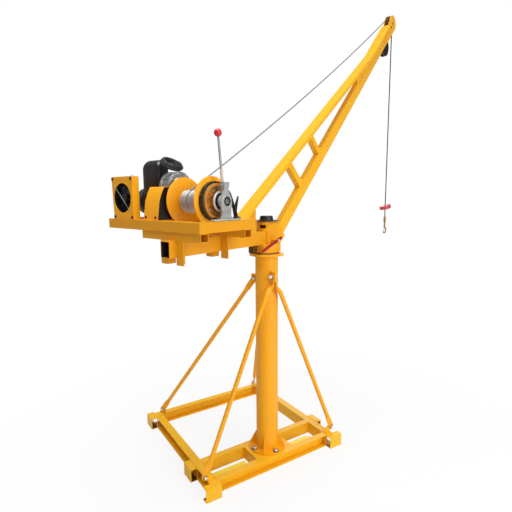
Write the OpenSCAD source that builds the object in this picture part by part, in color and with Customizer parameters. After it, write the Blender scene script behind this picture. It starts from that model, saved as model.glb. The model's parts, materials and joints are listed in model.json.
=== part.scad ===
// Portable mini crane: a jib with an electric winch that slews on a column
// standing on a square frame of steel channel.
// The origin is on the column's axis at the floor, +X points along the jib,
// +Y along the winch shaft towards the motor, and +Z is up. Millimetres.

/* [Base frame] */
// How far the base is turned under the jib
base_yaw = -17.5; // [-30:0.5:30]
// Middle of the base from the column's axis, along the front beam
base_offset = -12; // [-40:1:40]
// Width of the base over its side beams
base_w = 950; // [800:10:1200]
// Depth of the base, front beam to back beam
base_d = 948; // [800:1:1200]
// Height of the base channels
beam_h = 80; // [63:1:100]
// Flange width of the front, second and back channels
beam_flange = 43; // [38:1:48]
// Flange width of the two side channels
side_flange = 52; // [43:1:56]
// Wall of the base channels
beam_wall = 5; // [4:0.5:7]
// Column's axis to the front edge of the front beam
front_edge = 126; // [122:1:140]
// Column's axis to the web of the second beam
second_web = 71; // [60:1:78]
// Length of each short channel foot
foot_l = 100; // [80:5:140]
// How far a foot stands out from its beam
foot_out = 44; // [38:1:60]
// How far the rear feet reach past the back beam
foot_over = 18; // [0:1:40]
// Half the length of the column's seat between the front and second beams
seat_half = 137; // [125:1:160]

/* [Column] */
// Outer diameter of the column
column_d = 140; // [120:1:150]
// Wall of the column pipe
column_wall = 6; // [4:0.5:10]
// Top of the column's upper flange above the floor
column_top = 1367; // [1300:1:1380]
// Diameter of the column's foot flange
foot_flange_d = 232; // [225:1:240]
// Diameter of the column's upper flange
top_flange_d = 212; // [200:1:230]
// Thickness of both column flanges
flange_t = 13; // [10:1:16]
// Bolt circle of the foot flange
bolt_circle_d = 196; // [190:1:204]
// Diameter of the foot flange's bolt holes
bolt_hole_d = 18; // [14:1:20]
// Height of the gussets on the column's foot
rib_h = 85; // [60:5:110]

/* [Struts] */
// Diameter of the strut tubes
strut_d = 27; // [22:1:34]
// Height of the front pair's bolt on the column
strut_top_z = 1234; // [1100:1:1280]
// How much lower the rear pair is bolted
rear_drop = 36; // [0:1:60]
// Height of the lower strut bolts above the beams
strut_foot_rise = 28; // [20:1:45]
// Diameter of the strut bolt holes
strut_hole_d = 13; // [11:1:17]

/* [Slewing head] */
// Gap between the column's flange and the slewing sleeve, filled by the thrust ring
thrust_gap = 6; // [4:0.5:10]
// Outer diameter of the slewing sleeve
sleeve_d = 150; // [142:1:160]
// Outer diameter of the hub tube above the sleeve, and width of the main beam
hub_d = 64; // [58:1:70]
// Top of the hub above the floor
hub_top = 1563; // [1555:1:1600]
// Diameter of the king pin
king_pin_d = 44; // [38:1:48]
// Running clearance of the pins, on the radius
pin_clear = 0.05; // [0.02:0.01:0.1]

/* [Main beam and platform] */
// Rear end of the main beam behind the column's axis
beam_rear = 777; // [760:1:850]
// Height of the main beam
main_h = 80; // [70:1:84]
// Wall of the main beam
main_wall = 4; // [3:0.5:6]
// Underside of the main beam above the floor
main_z = 1427; // [1420:1:1440]
// Height of the cross tubes under the platform
cross_h = 41; // [30:1:50]
// Depth of the cross tubes along the beam
cross_w = 50; // [40:1:60]
// Length of the cross tubes
cross_l = 433; // [400:1:480]
// Size of the platform's and hangers' angle steel
angle_w = 50; // [45:1:55]
// Wall of the angle steel
angle_t = 5; // [4:0.5:6]
// Rear edge of the platform behind the column's axis
plat_rear = 742; // [720:1:760]
// Depth of the platform along the beam
plat_d = 402; // [390:1:420]
// Near edge of the platform from the jib's plane
plat_near = 203; // [195:1:230]
// Length of the platform across the beam
plat_l = 729; // [700:1:800]

/* [Jib] */
// Angle of the upper chord above level
upper_angle = 37.8; // [37:0.1:38.5]
// Angle of the lower chord above level
lower_angle = 45.2; // [44.5:0.1:46]
// Width of the upper chord
upper_w = 76; // [70:1:90]
// Thickness of the upper chord
upper_t = 24; // [20:1:30]
// Width of the lower chord
lower_w = 40; // [36:1:50]
// Depth of the lower chord
lower_t = 74; // [70:1:80]
// Wall of the jib's tubes
jib_wall = 3; // [2:0.5:5]

/* [Hoist] */
// Jib head axle from the lower chord's foot, measured along the chord
head_u = 2549; // [2400:1:2600]
// Jib head axle above the underside of the lower chord
head_v = 68; // [60:1:76]
// Diameter of the head sheave at the bottom of its groove
sheave_d = 100; // [90:1:104]
// Outer diameter of the head sheave
sheave_rim_d = 128; // [120:1:134]
// Diameter of the hoist rope
rope_d = 8; // [6:0.5:10]
// Drum axis behind the column's axis
drum_x = 540; // [535:1:545]
// Drum axis above the floor
drum_z = 1691; // [1685:1:1700]
// Diameter of the drum's end flanges
drum_flange_d = 248; // [230:1:256]
// Diameter of the bare drum
drum_d = 96; // [80:1:104]
// Drum's middle from the jib's plane
drum_y = 17; // [10:1:25]
// Length of the drum between its flanges
drum_l = 194; // [180:1:200]
// Diameter of the drum shaft
shaft_d = 40; // [34:1:44]
// Underside of the hook weight above the floor
weight_z = 1584; // [1500:1:1800]
// Diameter of the hook block's weight
weight_d = 102; // [80:1:120]
// Height of the hook block's weight
weight_h = 34; // [20:1:60]

/* [Hidden] */

paint = "orange";
half_w = base_w / 2;
back_edge = base_d - front_edge;
side_web = half_w - side_flange;
strut_foot_z = beam_h + strut_foot_rise;
column_r = column_d / 2;
sleeve_z = column_top + thrust_gap;
main_top = main_z + main_h;
frame_z = main_top + cross_h;
plat_z = frame_z + angle_w;
plat_front = plat_rear - plat_d;

// A channel along +X, open towards -Y, with the back of its web on y = 0.
module channel(l, h, f, t) {
    difference() {
        translate([0, -f, 0]) cube([l, f, h]);
        translate([-1, -f - 1, t]) cube([l + 2, f + 1 - t, h - 2 * t]);
    }
}

// An equal angle along +X: one leg flat on top, the other down along y = 0.
module angle_bar(l, w, t) {
    difference() {
        cube([l, w, w]);
        translate([-1, t, -1]) cube([l + 2, w, w - t + 1]);
    }
}

// A rectangular tube along +X, centred on Y, standing on z = 0.
module box_tube(l, w, h, t) {
    difference() {
        translate([0, -w / 2, 0]) cube([l, w, h]);
        translate([-1, -w / 2 + t, t]) cube([l + 2, w - 2 * t, h - 2 * t]);
    }
}

// A pin or disc along Y, centred on the origin.
module along_y(d, l) {
    rotate([90, 0, 0]) cylinder(d = d, h = l, center = true, $fn = 64);
}

// A plate cut from an outline in the X-Z plane, of thickness t, its faces at y and y + t.
module plate_xz(y, t) {
    translate([0, y + t, 0]) rotate([90, 0, 0]) linear_extrude(t) children();
}

// ---- Base frame ----

module on_base() { rotate([0, 0, base_yaw]) children(); }
module on_frame() { on_base() translate([base_offset, 0, 0]) children(); }

// The holes of the column's foot bolts, at the four ends of the base's two axes.
module foot_bolts(z, h) {
    for (a = [0 : 90 : 270]) rotate([0, 0, a]) translate([bolt_circle_d / 2, 0, z])
        cylinder(d = bolt_hole_d, h = h, $fn = 32);
}

// Three channels run across the frame, the front and second ones back to back under the column.
module cross_channels() color(paint) difference() {
    on_frame() {
        translate([-side_web, beam_flange - front_edge, 0])
            channel(2 * side_web, beam_h, beam_flange, beam_wall);
        translate([-side_web, second_web, 0]) mirror([0, 1, 0])
            channel(2 * side_web, beam_h, beam_flange, beam_wall);
        translate([-side_web, back_edge, 0]) channel(2 * side_web, beam_h, beam_flange, beam_wall);
    }
    on_base() foot_bolts(beam_h - beam_wall - 1, beam_wall + 2);
}

module side_channels() color(paint) on_frame() {
    translate([-side_web, back_edge, 0]) rotate([0, 0, -90])
        channel(base_d, beam_h, side_flange, beam_wall);
    translate([side_web, -front_edge, 0]) rotate([0, 0, 90])
        channel(base_d, beam_h, side_flange, beam_wall);
}

// A foot is a short channel welded to the outside of a beam with its web outwards.
module foot() {
    translate([-foot_l / 2, foot_out, 0]) channel(foot_l, beam_h, foot_out, beam_wall);
}

second_foot = second_web + beam_flange / 2;
rear_foot = back_edge + foot_over - foot_l / 2;
front_foot = half_w + foot_out - foot_l / 2;
module corner_feet() color(paint) on_frame() {
    for (y = [second_foot, rear_foot], s = [-1, 1])
        translate([s * half_w, y, 0]) rotate([0, 0, -90 * s]) foot();
    for (s = [-1, 1])
        translate([s * front_foot, -front_edge, 0]) rotate([0, 0, 180]) foot();
}

seat_t = 8;
seat_y = beam_flange - front_edge;
module column_seat() color(paint) on_base() {
    difference() {
        translate([-seat_half, seat_y, beam_h - seat_t])
            cube([2 * seat_half, second_web - seat_y, seat_t]);
        foot_bolts(beam_h - seat_t - 1, seat_t + 2);
    }
    for (x = [-seat_half, seat_half - seat_t])
        translate([x, seat_y, 0]) cube([seat_t, second_web - seat_y, beam_h - seat_t]);
}

strip_w = 32;
strip_t = 8;
strip_left = 225;
strip_right = 173;
module ledge_strips() color("gold") {
    on_frame() translate([-side_web, seat_y, beam_h - strip_t]) cube([strip_left, strip_w, strip_t]);
    on_base() translate([seat_half, seat_y, beam_h - strip_t]) linear_extrude(strip_t)
        polygon([[0, 0], [strip_right, 0], [strip_right - strip_w, strip_w], [0, strip_w]]);
}

// ---- Column and struts ----

// The front pair of struts shares one lug on the column, each rear strut has its own.
lug_t = 10;
flat_t = 6;
flat_w = 38;
lug_x = -18;
front_lug_y = 98;
rear_lug = [37, 85];
lug_reach = 24;
lug_h = 56;
rib_t = 8;
module column() color(paint) on_base() {
    difference() {
        union() {
            translate([0, 0, beam_h]) cylinder(d = foot_flange_d, h = flange_t, $fn = 96);
            translate([0, 0, beam_h]) cylinder(r = column_r, h = column_top - beam_h, $fn = 96);
            translate([0, 0, column_top - flange_t]) cylinder(d = top_flange_d, h = flange_t, $fn = 96);
            for (a = [45 : 90 : 315]) rotate([0, 0, a]) translate([column_r - 2, rib_t / 2, beam_h + flange_t])
                rotate([90, 0, 0]) linear_extrude(rib_t)
                    polygon([[0, 0], [foot_flange_d / 2 - column_r, 0],
                        [foot_flange_d / 2 - column_r, 12], [8, rib_h], [0, rib_h]]);
            translate([lug_x - lug_t / 2, -front_lug_y - lug_reach, strut_top_z - lug_h / 2])
                cube([lug_t, front_lug_y + lug_reach - column_r + 12, lug_h]);
            for (i = [2, 3]) rear_lug_place(i) translate([-lug_reach, -lug_t / 2, -lug_h / 2])
                cube([norm(rear_lug) - column_r + lug_reach + 8, lug_t, lug_h]);
        }
        translate([0, 0, beam_h + flange_t])
            cylinder(r = column_r - column_wall, h = column_top - beam_h - 2 * flange_t, $fn = 96);
        foot_bolts(beam_h - 1, flange_t + 2);
        translate([lug_x, -front_lug_y, strut_top_z]) rotate([0, 90, 0])
            cylinder(d = strut_hole_d, h = lug_t + 2, center = true, $fn = 32);
        for (i = [2, 3]) rear_lug_place(i) along_y(strut_hole_d, lug_t + 2);
    }
    translate([0, 0, column_top]) cylinder(d = king_pin_d, h = hub_top - column_top - 4, $fn = 64);
}

module thrust_ring() color("black") translate([0, 0, column_top]) difference() {
    cylinder(d = column_d, h = thrust_gap, $fn = 96);
    translate([0, 0, -1]) cylinder(d = king_pin_d + 2, h = thrust_gap + 2, $fn = 64);
}

// Each strut is a tube with both ends pressed flat. The lower end is flat in the strut's
// own vertical plane. So is a rear strut's upper end, but a front strut's upper end is
// pressed flat the other way and bent upright against the side of the shared lug.
function strut_foot(i) = [
    [base_offset - half_w - 15, -front_lug_y, strut_foot_z],
    [base_offset + half_w + 15, -front_lug_y, strut_foot_z],
    [base_offset - side_web + 10, back_edge - 32, strut_foot_z],
    [base_offset + side_web - 10, back_edge - 32, strut_foot_z]][i];
function strut_head(i) = let (side = i % 2 == 0 ? -1 : 1) i < 2
    ? [lug_x + side * (lug_t + flat_t) / 2, -front_lug_y, strut_top_z]
    : [side * rear_lug[0], rear_lug[1], strut_top_z - rear_drop];
function strut_turn(i) = let (v = strut_head(i) - strut_foot(i)) atan2(v[1], v[0]);
function strut_run(i) = let (v = strut_head(i) - strut_foot(i)) norm([v[0], v[1]]);
function strut_rise(i) = strut_head(i)[2] - strut_foot(i)[2];

// Where a rear strut's lug stands on the column, beside the strut's flat end.
module rear_lug_place(i) {
    translate(strut_head(i)) rotate([0, 0, strut_turn(i)])
        translate([0, (i == 2 ? 1 : -1) * (flat_t + lug_t) / 2, 0]) children();
}

flat_l = 74;
taper_l = 36;
round_l = flat_l + taper_l;
round_r = strut_d / 2 - 0.8;
module flat_end() {
    plate_xz(-flat_t / 2, flat_t) {
        circle(d = flat_w, $fn = 48);
        translate([0, -flat_w / 2]) square([flat_l, flat_w]);
    }
    intersection() {
        plate_xz(-strut_d / 2, strut_d) polygon([[flat_l, -flat_w / 2], [round_l, -round_r],
            [round_l, round_r], [flat_l, flat_w / 2]]);
        translate([0, 0, -flat_w]) linear_extrude(2 * flat_w) polygon([[flat_l, -flat_t / 2],
            [round_l, -round_r], [round_l, round_r], [flat_l, flat_t / 2]]);
    }
}

module strut(i) {
    run = strut_run(i);
    rise = strut_rise(i);
    l = norm([run, rise]);
    lean = atan2(rise, run);
    translate(strut_foot(i)) rotate([0, 0, strut_turn(i)]) difference() {
        union() {
            rotate([0, -lean, 0]) {
                flat_end();
                translate([round_l - 1, 0, 0]) rotate([0, 90, 0])
                    cylinder(d = strut_d, h = l - 2 * round_l + 2, $fn = 32);
                if (i > 1) translate([l, 0, 0]) rotate([0, 0, 180]) flat_end();
            }
            if (i < 2) bent_end(run, rise, lean);
        }
        along_y(strut_hole_d, flat_t + 2);
        if (i > 1) translate([run, 0, rise]) along_y(strut_hole_d, flat_t + 2);
        else translate([run, 0, rise]) rotate([0, 90, 0])
            cylinder(d = strut_hole_d, h = flat_t + 2, center = true, $fn = 32);
    }
}
bent_h = 50;
module bent_end(run, rise, lean) {
    tube_end = [run - round_l * cos(lean), rise - round_l * sin(lean)];
    across = round_r * [-sin(lean), cos(lean)];
    translate([run - flat_t / 2, 0, rise]) rotate([0, 90, 0]) cylinder(d = flat_w, h = flat_t, $fn = 48);
    translate([run - flat_t / 2, -flat_w / 2, rise - bent_h]) cube([flat_t, flat_w, bent_h]);
    plate_xz(-round_r, 2 * round_r) polygon([[run - flat_t / 2, rise - bent_h], tube_end + across,
        tube_end - across, [run + flat_t / 2, rise - bent_h - 3], [run + flat_t / 2, rise - bent_h]]);
}
module front_struts() color(paint) on_base() for (i = [0, 1]) strut(i);
module back_struts() color(paint) on_base() for (i = [2, 3]) strut(i);

// The front lugs lean out over the corners of the frame, the rear ones stand on the back beam.
foot_lug_t = 8;
module strut_foot_lugs() color(paint) on_base() for (i = [0 : 3]) {
    rise = strut_foot_z - beam_h;
    front = i < 2;
    side = i % 2 == 0 ? 1 : -1;
    translate([strut_foot(i)[0], strut_foot(i)[1], beam_h]) rotate([0, 0, strut_turn(i)]) difference() {
        translate([0, side * (flat_t + foot_lug_t) / 2, 0]) plate_xz(-foot_lug_t / 2, foot_lug_t)
            if (front) polygon([[58, 0], [15, 0], [-16, rise - 10], [-16, rise + 12],
                [10, rise + 20], [20, rise + 12], [58, 14]]);
            else polygon([[26, 0], [-26, 0], [-26, rise - 6], [-14, rise + 20], [14, rise + 20], [26, rise - 6]]);
        translate([0, 0, rise]) along_y(strut_hole_d, 60);
    }
}

// ---- Slewing head ----

sleeve_rib_x = 92;
housing_d = 128;
housing_wall = 5;
window_w = 40;
window_h = 21;
window_rise = 16;
window_turn = 197;
// The rear of the bearing housing stands on the main beam, behind the knuckle plates.
module housing_rear() translate([0, 0, main_top]) difference() {
    cylinder(d = housing_d, h = hub_top - main_top, $fn = 96);
    translate([0, 0, -1]) cylinder(d = housing_d - 2 * housing_wall, h = hub_top - main_top + 2, $fn = 96);
    translate([-knuckle_rear - weld_gap, -housing_d, -1]) cube([2 * housing_d, 2 * housing_d, hub_top]);
    rotate([0, 0, window_turn]) translate([housing_d / 4, -window_w / 2, window_rise])
        cube([housing_d, window_w, window_h]);
}
module slew_sleeve() color(paint) {
    housing_rear();
    bored_sleeve();
}
module bored_sleeve() difference() {
    union() {
        translate([0, 0, sleeve_z]) cylinder(d = sleeve_d, h = main_z - sleeve_z, $fn = 96);
        translate([0, 0, main_z]) cylinder(d = hub_d, h = hub_top - main_z, $fn = 64);
        translate([0, -plate_y - plate_t, sleeve_z])
            cube([sleeve_rib_x, plate_t, main_z - sleeve_z]);
    }
    translate([0, 0, sleeve_z - 1])
        cylinder(r = king_pin_d / 2 + pin_clear, h = hub_top - sleeve_z + 2, $fn = 64);
}

cap_plate_d = 150;
cap_plate_t = 7;
cap_d = 84;
cap_h = 27;
module bearing_cap() color("black") translate([0, 0, hub_top]) {
    cylinder(d = cap_plate_d, h = cap_plate_t, $fn = 64);
    translate([0, 0, cap_plate_t]) cylinder(d1 = cap_d, d2 = cap_d - 12, h = cap_h, $fn = 48);
}

// A block under the main beam, just behind the rim of the column's flange.
keeper_w = 34;
keeper_l = 38;
keeper_clear = 6;
keeper_bevel = 12;
module slew_keeper() color("saddlebrown") plate_xz(-keeper_w / 2, keeper_w) {
    x_in = -(top_flange_d / 2 + keeper_clear);
    low = column_top + keeper_clear + 2;
    polygon([[x_in, main_z], [x_in - keeper_l, main_z], [x_in - keeper_l, low + keeper_bevel],
        [x_in - keeper_l + keeper_bevel, low], [x_in, low]]);
}

plate_t = 8;
plate_y = hub_d / 2;
// Points of the jib's plane, u along the underside of the lower chord and v square to it.
lower_start = 1331;
function jib(u, v) = [u * cos(lower_angle) - v * sin(lower_angle),
    lower_start + u * sin(lower_angle) + v * cos(lower_angle)];
knuckle_u = 195;
chord_u = 170;
knuckle_rear = 40;
function lower_bottom(x) = lower_start + x * tan(lower_angle);
function lower_top(x) = lower_bottom(x) + lower_t / cos(lower_angle);
knuckle_top_v = (hub_top - lower_start - knuckle_u * sin(lower_angle)) / cos(lower_angle);
module knuckle_plates() color(paint) {
    translate([lock_x, -plate_y, lock_z]) rotate([90, 0, 0])
        cylinder(d = stud_d, h = -lock_y - plate_y + 4, $fn = 48);
    for (y = [-plate_y - plate_t, plate_y]) plate_xz(y, plate_t)
        polygon([[-knuckle_rear, main_z], [(main_z - lower_start) / tan(lower_angle), main_z],
            jib(knuckle_u, 0), jib(knuckle_u, knuckle_top_v), [-knuckle_rear, hub_top]]);
    plate_xz(-plate_y, 2 * plate_y)
        polygon([jib(chord_u - plate_t, 0), jib(chord_u, 0), jib(chord_u, lower_t), jib(chord_u - plate_t, lower_t)]);
}

// The locking lever turns on a stud that stands out from the near knuckle plate, so that
// its bar passes in front of the slewing sleeve.
lock_x = 3;
lock_z = 1450;
lock_lean = 20;
lock_w = 18;
lock_t = 6;
lock_tail = 162;
lock_nose = 46;
stud_d = 16;
lock_y = -sleeve_d / 2 - 5 - lock_t;
module lock_lever() color("red") translate([lock_x, 0, lock_z]) difference() {
    rotate([0, -lock_lean, 0]) plate_xz(lock_y, lock_t) {
        translate([-lock_tail, -lock_w / 2]) square([lock_tail + lock_nose, lock_w]);
    }
    rotate([90, 0, 0]) cylinder(r = stud_d / 2 + pin_clear, h = 200, $fn = 48);
}

// ---- Main beam and platform ----

module main_beam() color(paint) difference() {
    translate([-beam_rear, 0, main_z]) box_tube(beam_rear - hub_d * 0.3, hub_d, main_h, main_wall);
    translate([0, 0, main_z - 1]) cylinder(d = hub_d, h = main_h + 2, $fn = 64);
}

upper_start = 1785;
function upper_top(x) = upper_start + x * tan(upper_angle);
function upper_bottom(x) = upper_top(x) - upper_t / cos(upper_angle);
gusset_rear = 275;
gusset_front = 140;
module rear_gussets() color(paint) for (y = [-plate_y, plate_y - plate_t]) plate_xz(y, plate_t)
    polygon([[-gusset_rear, main_top], [-gusset_rear, upper_bottom(-gusset_rear)],
        [-gusset_front, upper_bottom(-gusset_front)], [-gusset_front, main_top]]);

cross_set = 6;
front_cross = 433;
cross_wall = 3;
module cross_tubes() color(paint) for (x = [cross_set - plat_rear, -front_cross])
    translate([x + cross_w / 2, -plat_near, main_top]) rotate([0, 0, 90])
        box_tube(cross_l, cross_w, cross_h, cross_wall);

hanger_drop = 37;
module hanger_angles() color(paint) for (x = [cross_set - plat_rear, -front_cross], s = [0, 1])
    mirror([0, s, 0]) translate([x, hub_d / 2, main_z - hanger_drop]) {
        cube([angle_t, angle_w, main_h + hanger_drop]);
        translate([angle_t, 0, 0]) cube([angle_w - angle_t, angle_t, main_h + hanger_drop]);
    }

module platform_long_rails() color(paint) {
    translate([-plat_rear, plat_l - plat_near, frame_z]) rotate([0, 0, -90])
        angle_bar(plat_l, angle_w, angle_t);
    translate([-plat_front, -plat_near, frame_z]) rotate([0, 0, 90])
        angle_bar(plat_l, angle_w, angle_t);
}

// The end rails' flat legs stop at those of the long rails, their upright legs run on below them.
module platform_end_rails() color(paint) for (s = [0, 1]) {
    l = plat_d - 2 * angle_t;
    flat = angle_w - angle_t;
    translate([-plat_rear + angle_t, s == 0 ? -plat_near : plat_l - plat_near, frame_z]) mirror([0, s, 0])
        difference() {
            angle_bar(l, angle_w, angle_t);
            for (x = [-1, l - flat]) translate([x, -1, flat]) cube([flat + 1, angle_w + 2, angle_t + 1]);
        }
}

bearer_w = 40;
bearer_y = [165, 330];
module winch_bearers() color(paint) for (y = bearer_y)
    translate([-plat_rear + angle_w, y, frame_z])
        box_tube(plat_d - 2 * angle_w, bearer_w, angle_w, cross_wall);

// ---- Jib ----

// The upper chord runs down to the rear gussets. Near the head it bends and lies on the lower chord.
// The jib's welded parts stop a hair short of each other.
head_gap = 6;
weld_gap = 0.03;
end_u = head_u - sheave_rim_d / 2 - head_gap;
function upper_line(d) = let (x0 = -282, dz = upper_bottom(0) + d / cos(upper_angle), v = lower_t + weld_gap + d,
    bend = (dz - lower_start - v / cos(lower_angle)) / (tan(lower_angle) - tan(upper_angle)))
    [[x0, dz + x0 * tan(upper_angle)], [bend, dz + bend * tan(upper_angle)], jib(end_u, v)];
module upper_outline(d0, d1) {
    low = upper_line(d0);
    top = upper_line(d1);
    polygon([low[0], low[1], low[2], top[2], top[1], top[0]]);
}
module upper_chord() color(paint) difference() {
    plate_xz(-upper_w / 2, upper_w) upper_outline(0, upper_t);
    plate_xz(-upper_w / 2 + jib_wall, upper_w - 2 * jib_wall) upper_outline(jib_wall, upper_t - jib_wall);
}

module lower_chord() color(paint) difference() {
    translate([0, 0, lower_start]) rotate([0, -lower_angle, 0]) translate([chord_u, 0, 0])
        box_tube(end_u - chord_u, lower_w, lower_t, jib_wall);
}

// A brace square to the lower chord, up to the upper chord's underside. A round fillet on
// its upper side ends in a toe on the lower chord.
toe = 2;
function under_upper(u) = jib(u,
    (upper_bottom(0) - lower_start + u * (cos(lower_angle) * tan(upper_angle) - sin(lower_angle)))
    / (cos(lower_angle) + sin(lower_angle) * tan(upper_angle)) - weld_gap);
module brace(x, w, r) {
    low_u = x / cos(lower_angle) + lower_t * tan(lower_angle);
    high_u = low_u + w;
    fillet = [for (a = [270 : -9 : 180]) jib(high_u + r + r * cos(a), lower_t + toe + r + r * sin(a))];
    polygon(concat([jib(low_u, lower_t + weld_gap), jib(high_u + r, lower_t + weld_gap)], fillet,
        [under_upper(high_u), under_upper(low_u)]));
}
web_x = 1133;
web_end = upper_line(0)[1][0] - 1;
module jib_braces() color(paint) plate_xz(-lower_w / 2, lower_w) {
    brace(334, 42, 46);
    brace(560, 36, 40);
    polygon([[web_x, lower_top(web_x) + 2 * weld_gap], [web_end, (lower_top(web_end) + upper_bottom(web_end)) / 2],
        [web_x - 14, upper_bottom(web_x - 14) - 2 * weld_gap]]);
}

cheek_t = 6;
tip_r = 62;
tip_ahead = 16;
axle_d = 24;
module at_jib(u, v) { translate([jib(u, v)[0], 0, jib(u, v)[1]]) children(); }
module head_cheeks() color(paint) {
    difference() {
        for (y = [-lower_w / 2 - cheek_t, lower_w / 2]) plate_xz(y, cheek_t) {
            translate(jib(head_u + tip_ahead, head_v - 5)) circle(r = tip_r, $fn = 64);
            polygon([jib(end_u - 120, 2), jib(head_u, 2), jib(head_u + tip_ahead, head_v - 5 + tip_r - 0.5),
                jib(end_u + 12, lower_t + upper_t + 6), jib(end_u + 0.5, lower_t + upper_t - 4),
                jib(end_u + 0.5, lower_t), jib(end_u - 120, lower_t)]);
        }
        at_jib(head_u, head_v) along_y(axle_d, 80);
    }
    at_jib(head_u, head_v) along_y(axle_d, lower_w + 2 * cheek_t + 8);
}

hoop_r = 80;
hoop_w = 30;
hoop_u = 2320;
module limit_hoop() color("black") at_jib(hoop_u, 0) rotate([0, -lower_angle, 0]) difference() {
    along_y(2 * hoop_r, hoop_w);
    translate([-2 * hoop_r, -hoop_w, 0]) cube([4 * hoop_r, 2 * hoop_w, 2 * hoop_r]);
}

rope_r = rope_d / 2;
rope_gap = 0.4;
sheave_w = 30;
module head_sheave() color("sandybrown") at_jib(head_u, head_v) rotate([90, 0, 0]) rotate_extrude($fn = 96)
    polygon([[axle_d / 2 + pin_clear, -sheave_w / 2], [axle_d / 2 + pin_clear, sheave_w / 2],
        [26, sheave_w / 2], [26, 10], [sheave_rim_d / 2, 10], [sheave_rim_d / 2, 8],
        [sheave_d / 2 - rope_gap, rope_r + 1], [sheave_d / 2 - rope_gap, -rope_r - 1],
        [sheave_rim_d / 2, -8], [sheave_rim_d / 2, -10], [26, -10], [26, -sheave_w / 2]]);

// ---- Winch ----

flange_w = 8;
lay_d = 120;
lay_short = 18;
wheel_d = 178;
wheel_y = drum_y - drum_l / 2 - flange_w;
wheel_l = 36;
wheel_dish_d = 150;
wheel_dish = 14;
clutch_d = 100;
clutch_l = 8;
clutch_y = -141;
gear_y = drum_y + drum_l / 2 + flange_w + 8;
module at_drum(y) { translate([-drum_x, y, drum_z]) children(); }

module drum() color(paint) {
    at_drum(drum_y) along_y(drum_d, drum_l);
    for (s = [-1, 1]) at_drum(drum_y + s * (drum_l + flange_w) / 2) along_y(drum_flange_d, flange_w);
    difference() {
        at_drum(wheel_y - wheel_l / 2) along_y(wheel_d, wheel_l);
        at_drum(wheel_y - wheel_l) along_y(wheel_dish_d, 2 * wheel_dish);
    }
    at_drum(clutch_y) along_y(clutch_d, clutch_l);
    translate([-drum_x, gear_y + 20, drum_z]) rotate([90, 0, 0])
        cylinder(d = shaft_d, h = gear_y + 20 - web_y, $fn = 64);
}

// The rope's turns stop short of the flange on the motor's side.
module wound_rope() color("gray") at_drum(drum_y - lay_short / 2) difference() {
    along_y(lay_d, drum_l - lay_short);
    along_y(drum_d, drum_l + 10);
}

// The outer bearing's casting: a foot plate, a web with a waist and a square head, and the
// bearing's boss behind the web. The brake lever rocks on a pin between two ears on its back.
boss_d = 74;
boss_l = 34;
web_y = -184;
web_t = 14;
head_w = 40;
head_top = 1784;
lever_y = -157;
lever_z = 1762;
lever_pin_d = 10;
ear_t = 8;
ear_out = 16;
ear_l = 22;
foot_plate = [183, 50, 9];
module pedestal() color("silver") difference() {
    union() {
        translate([-drum_x - foot_plate[0] / 2, web_y - 16, plat_z]) cube(foot_plate);
        translate([-drum_x, 0, drum_z]) plate_xz(web_y, web_t) polygon([[-37, plat_z - drum_z], [-30, -48], [-36, -20],
            [-36, 14], [-15, 56], [-head_w / 2, 76], [-head_w / 2, head_top - drum_z], [head_w / 2, head_top - drum_z],
            [head_w / 2, 76], [15, 56], [36, 14], [36, -20], [30, -48], [37, plat_z - drum_z]]);
        at_drum(web_y + boss_l / 2) along_y(boss_d, boss_l);
        for (x = [-ear_out, ear_out - ear_t])
            translate([-drum_x + x, web_y + web_t, lever_z - 12]) cube([ear_t, ear_l, 24]);
        translate([-drum_x, lever_y, lever_z]) rotate([0, 0, 90]) along_y(lever_pin_d, 2 * ear_out);
    }
    at_drum(web_y + boss_l / 2) along_y(shaft_d + 2 * pin_clear, boss_l + 2);
}

// The band runs round the brake wheel. Its upper end leaves the wheel as a bent strap, its lower
// end runs level, and both meet the upright blade on the anchor that stands on the platform.
band_r = 91;
band_t = 7;
band_w = 20;
band_y = -102;
band_leave = 50;
module brake_band() color("black") {
    out_r = band_r + band_t;
    leave = [cos(band_leave), sin(band_leave)];
    root = [cos(band_leave + 4), sin(band_leave + 4)];
    low = plat_z - drum_z;
    translate([-drum_x, 0, drum_z]) {
        plate_xz(band_y - band_w / 2, band_w) {
            difference() {
                circle(r = out_r, $fn = 96);
                circle(r = band_r, $fn = 96);
                polygon([[0, 0], 3 * out_r * leave, [3 * out_r, -3 * out_r], [1.4 * out_r, -3 * out_r]]);
            }
            polygon([(band_r + 1) * root, (out_r - 1) * root, [105, 42], [130, -11], [151, low + 5], [144, low + 5],
                [123, -14], [98, 37]]);
            polygon([[30, low + 2], [30, low + 8], [141, low + 8], [141, low + 13], [154, low + 13], [180, low + 8],
                [180, low], [150, low], [148, low + 2]]);
        }
        plate_xz(band_y - 4, 8) polygon([[166, low + 4], [158, -50], [165, -14], [172, 22], [167, 26], [148, -12],
            [137, -52], [153, low + 4]]);
    }
}

lever_rise = 256;
lever_lean = 5.7;
lever_d = 12;
ball_d = 38;
module brake_lever() color("silver") translate([-drum_x, lever_y, lever_z]) rotate([-lever_lean, 0, 0]) {
    difference() {
        translate([-6, -7, -9]) cube([12, 14, 33]);
        rotate([0, 0, 90]) along_y(lever_pin_d + 2 * pin_clear, 20);
    }
    translate([0, 0, 20]) cylinder(d = lever_d, h = lever_rise - 20, $fn = 24);
    translate([0, 0, lever_rise]) sphere(d = ball_d, $fn = 48);
}

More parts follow.
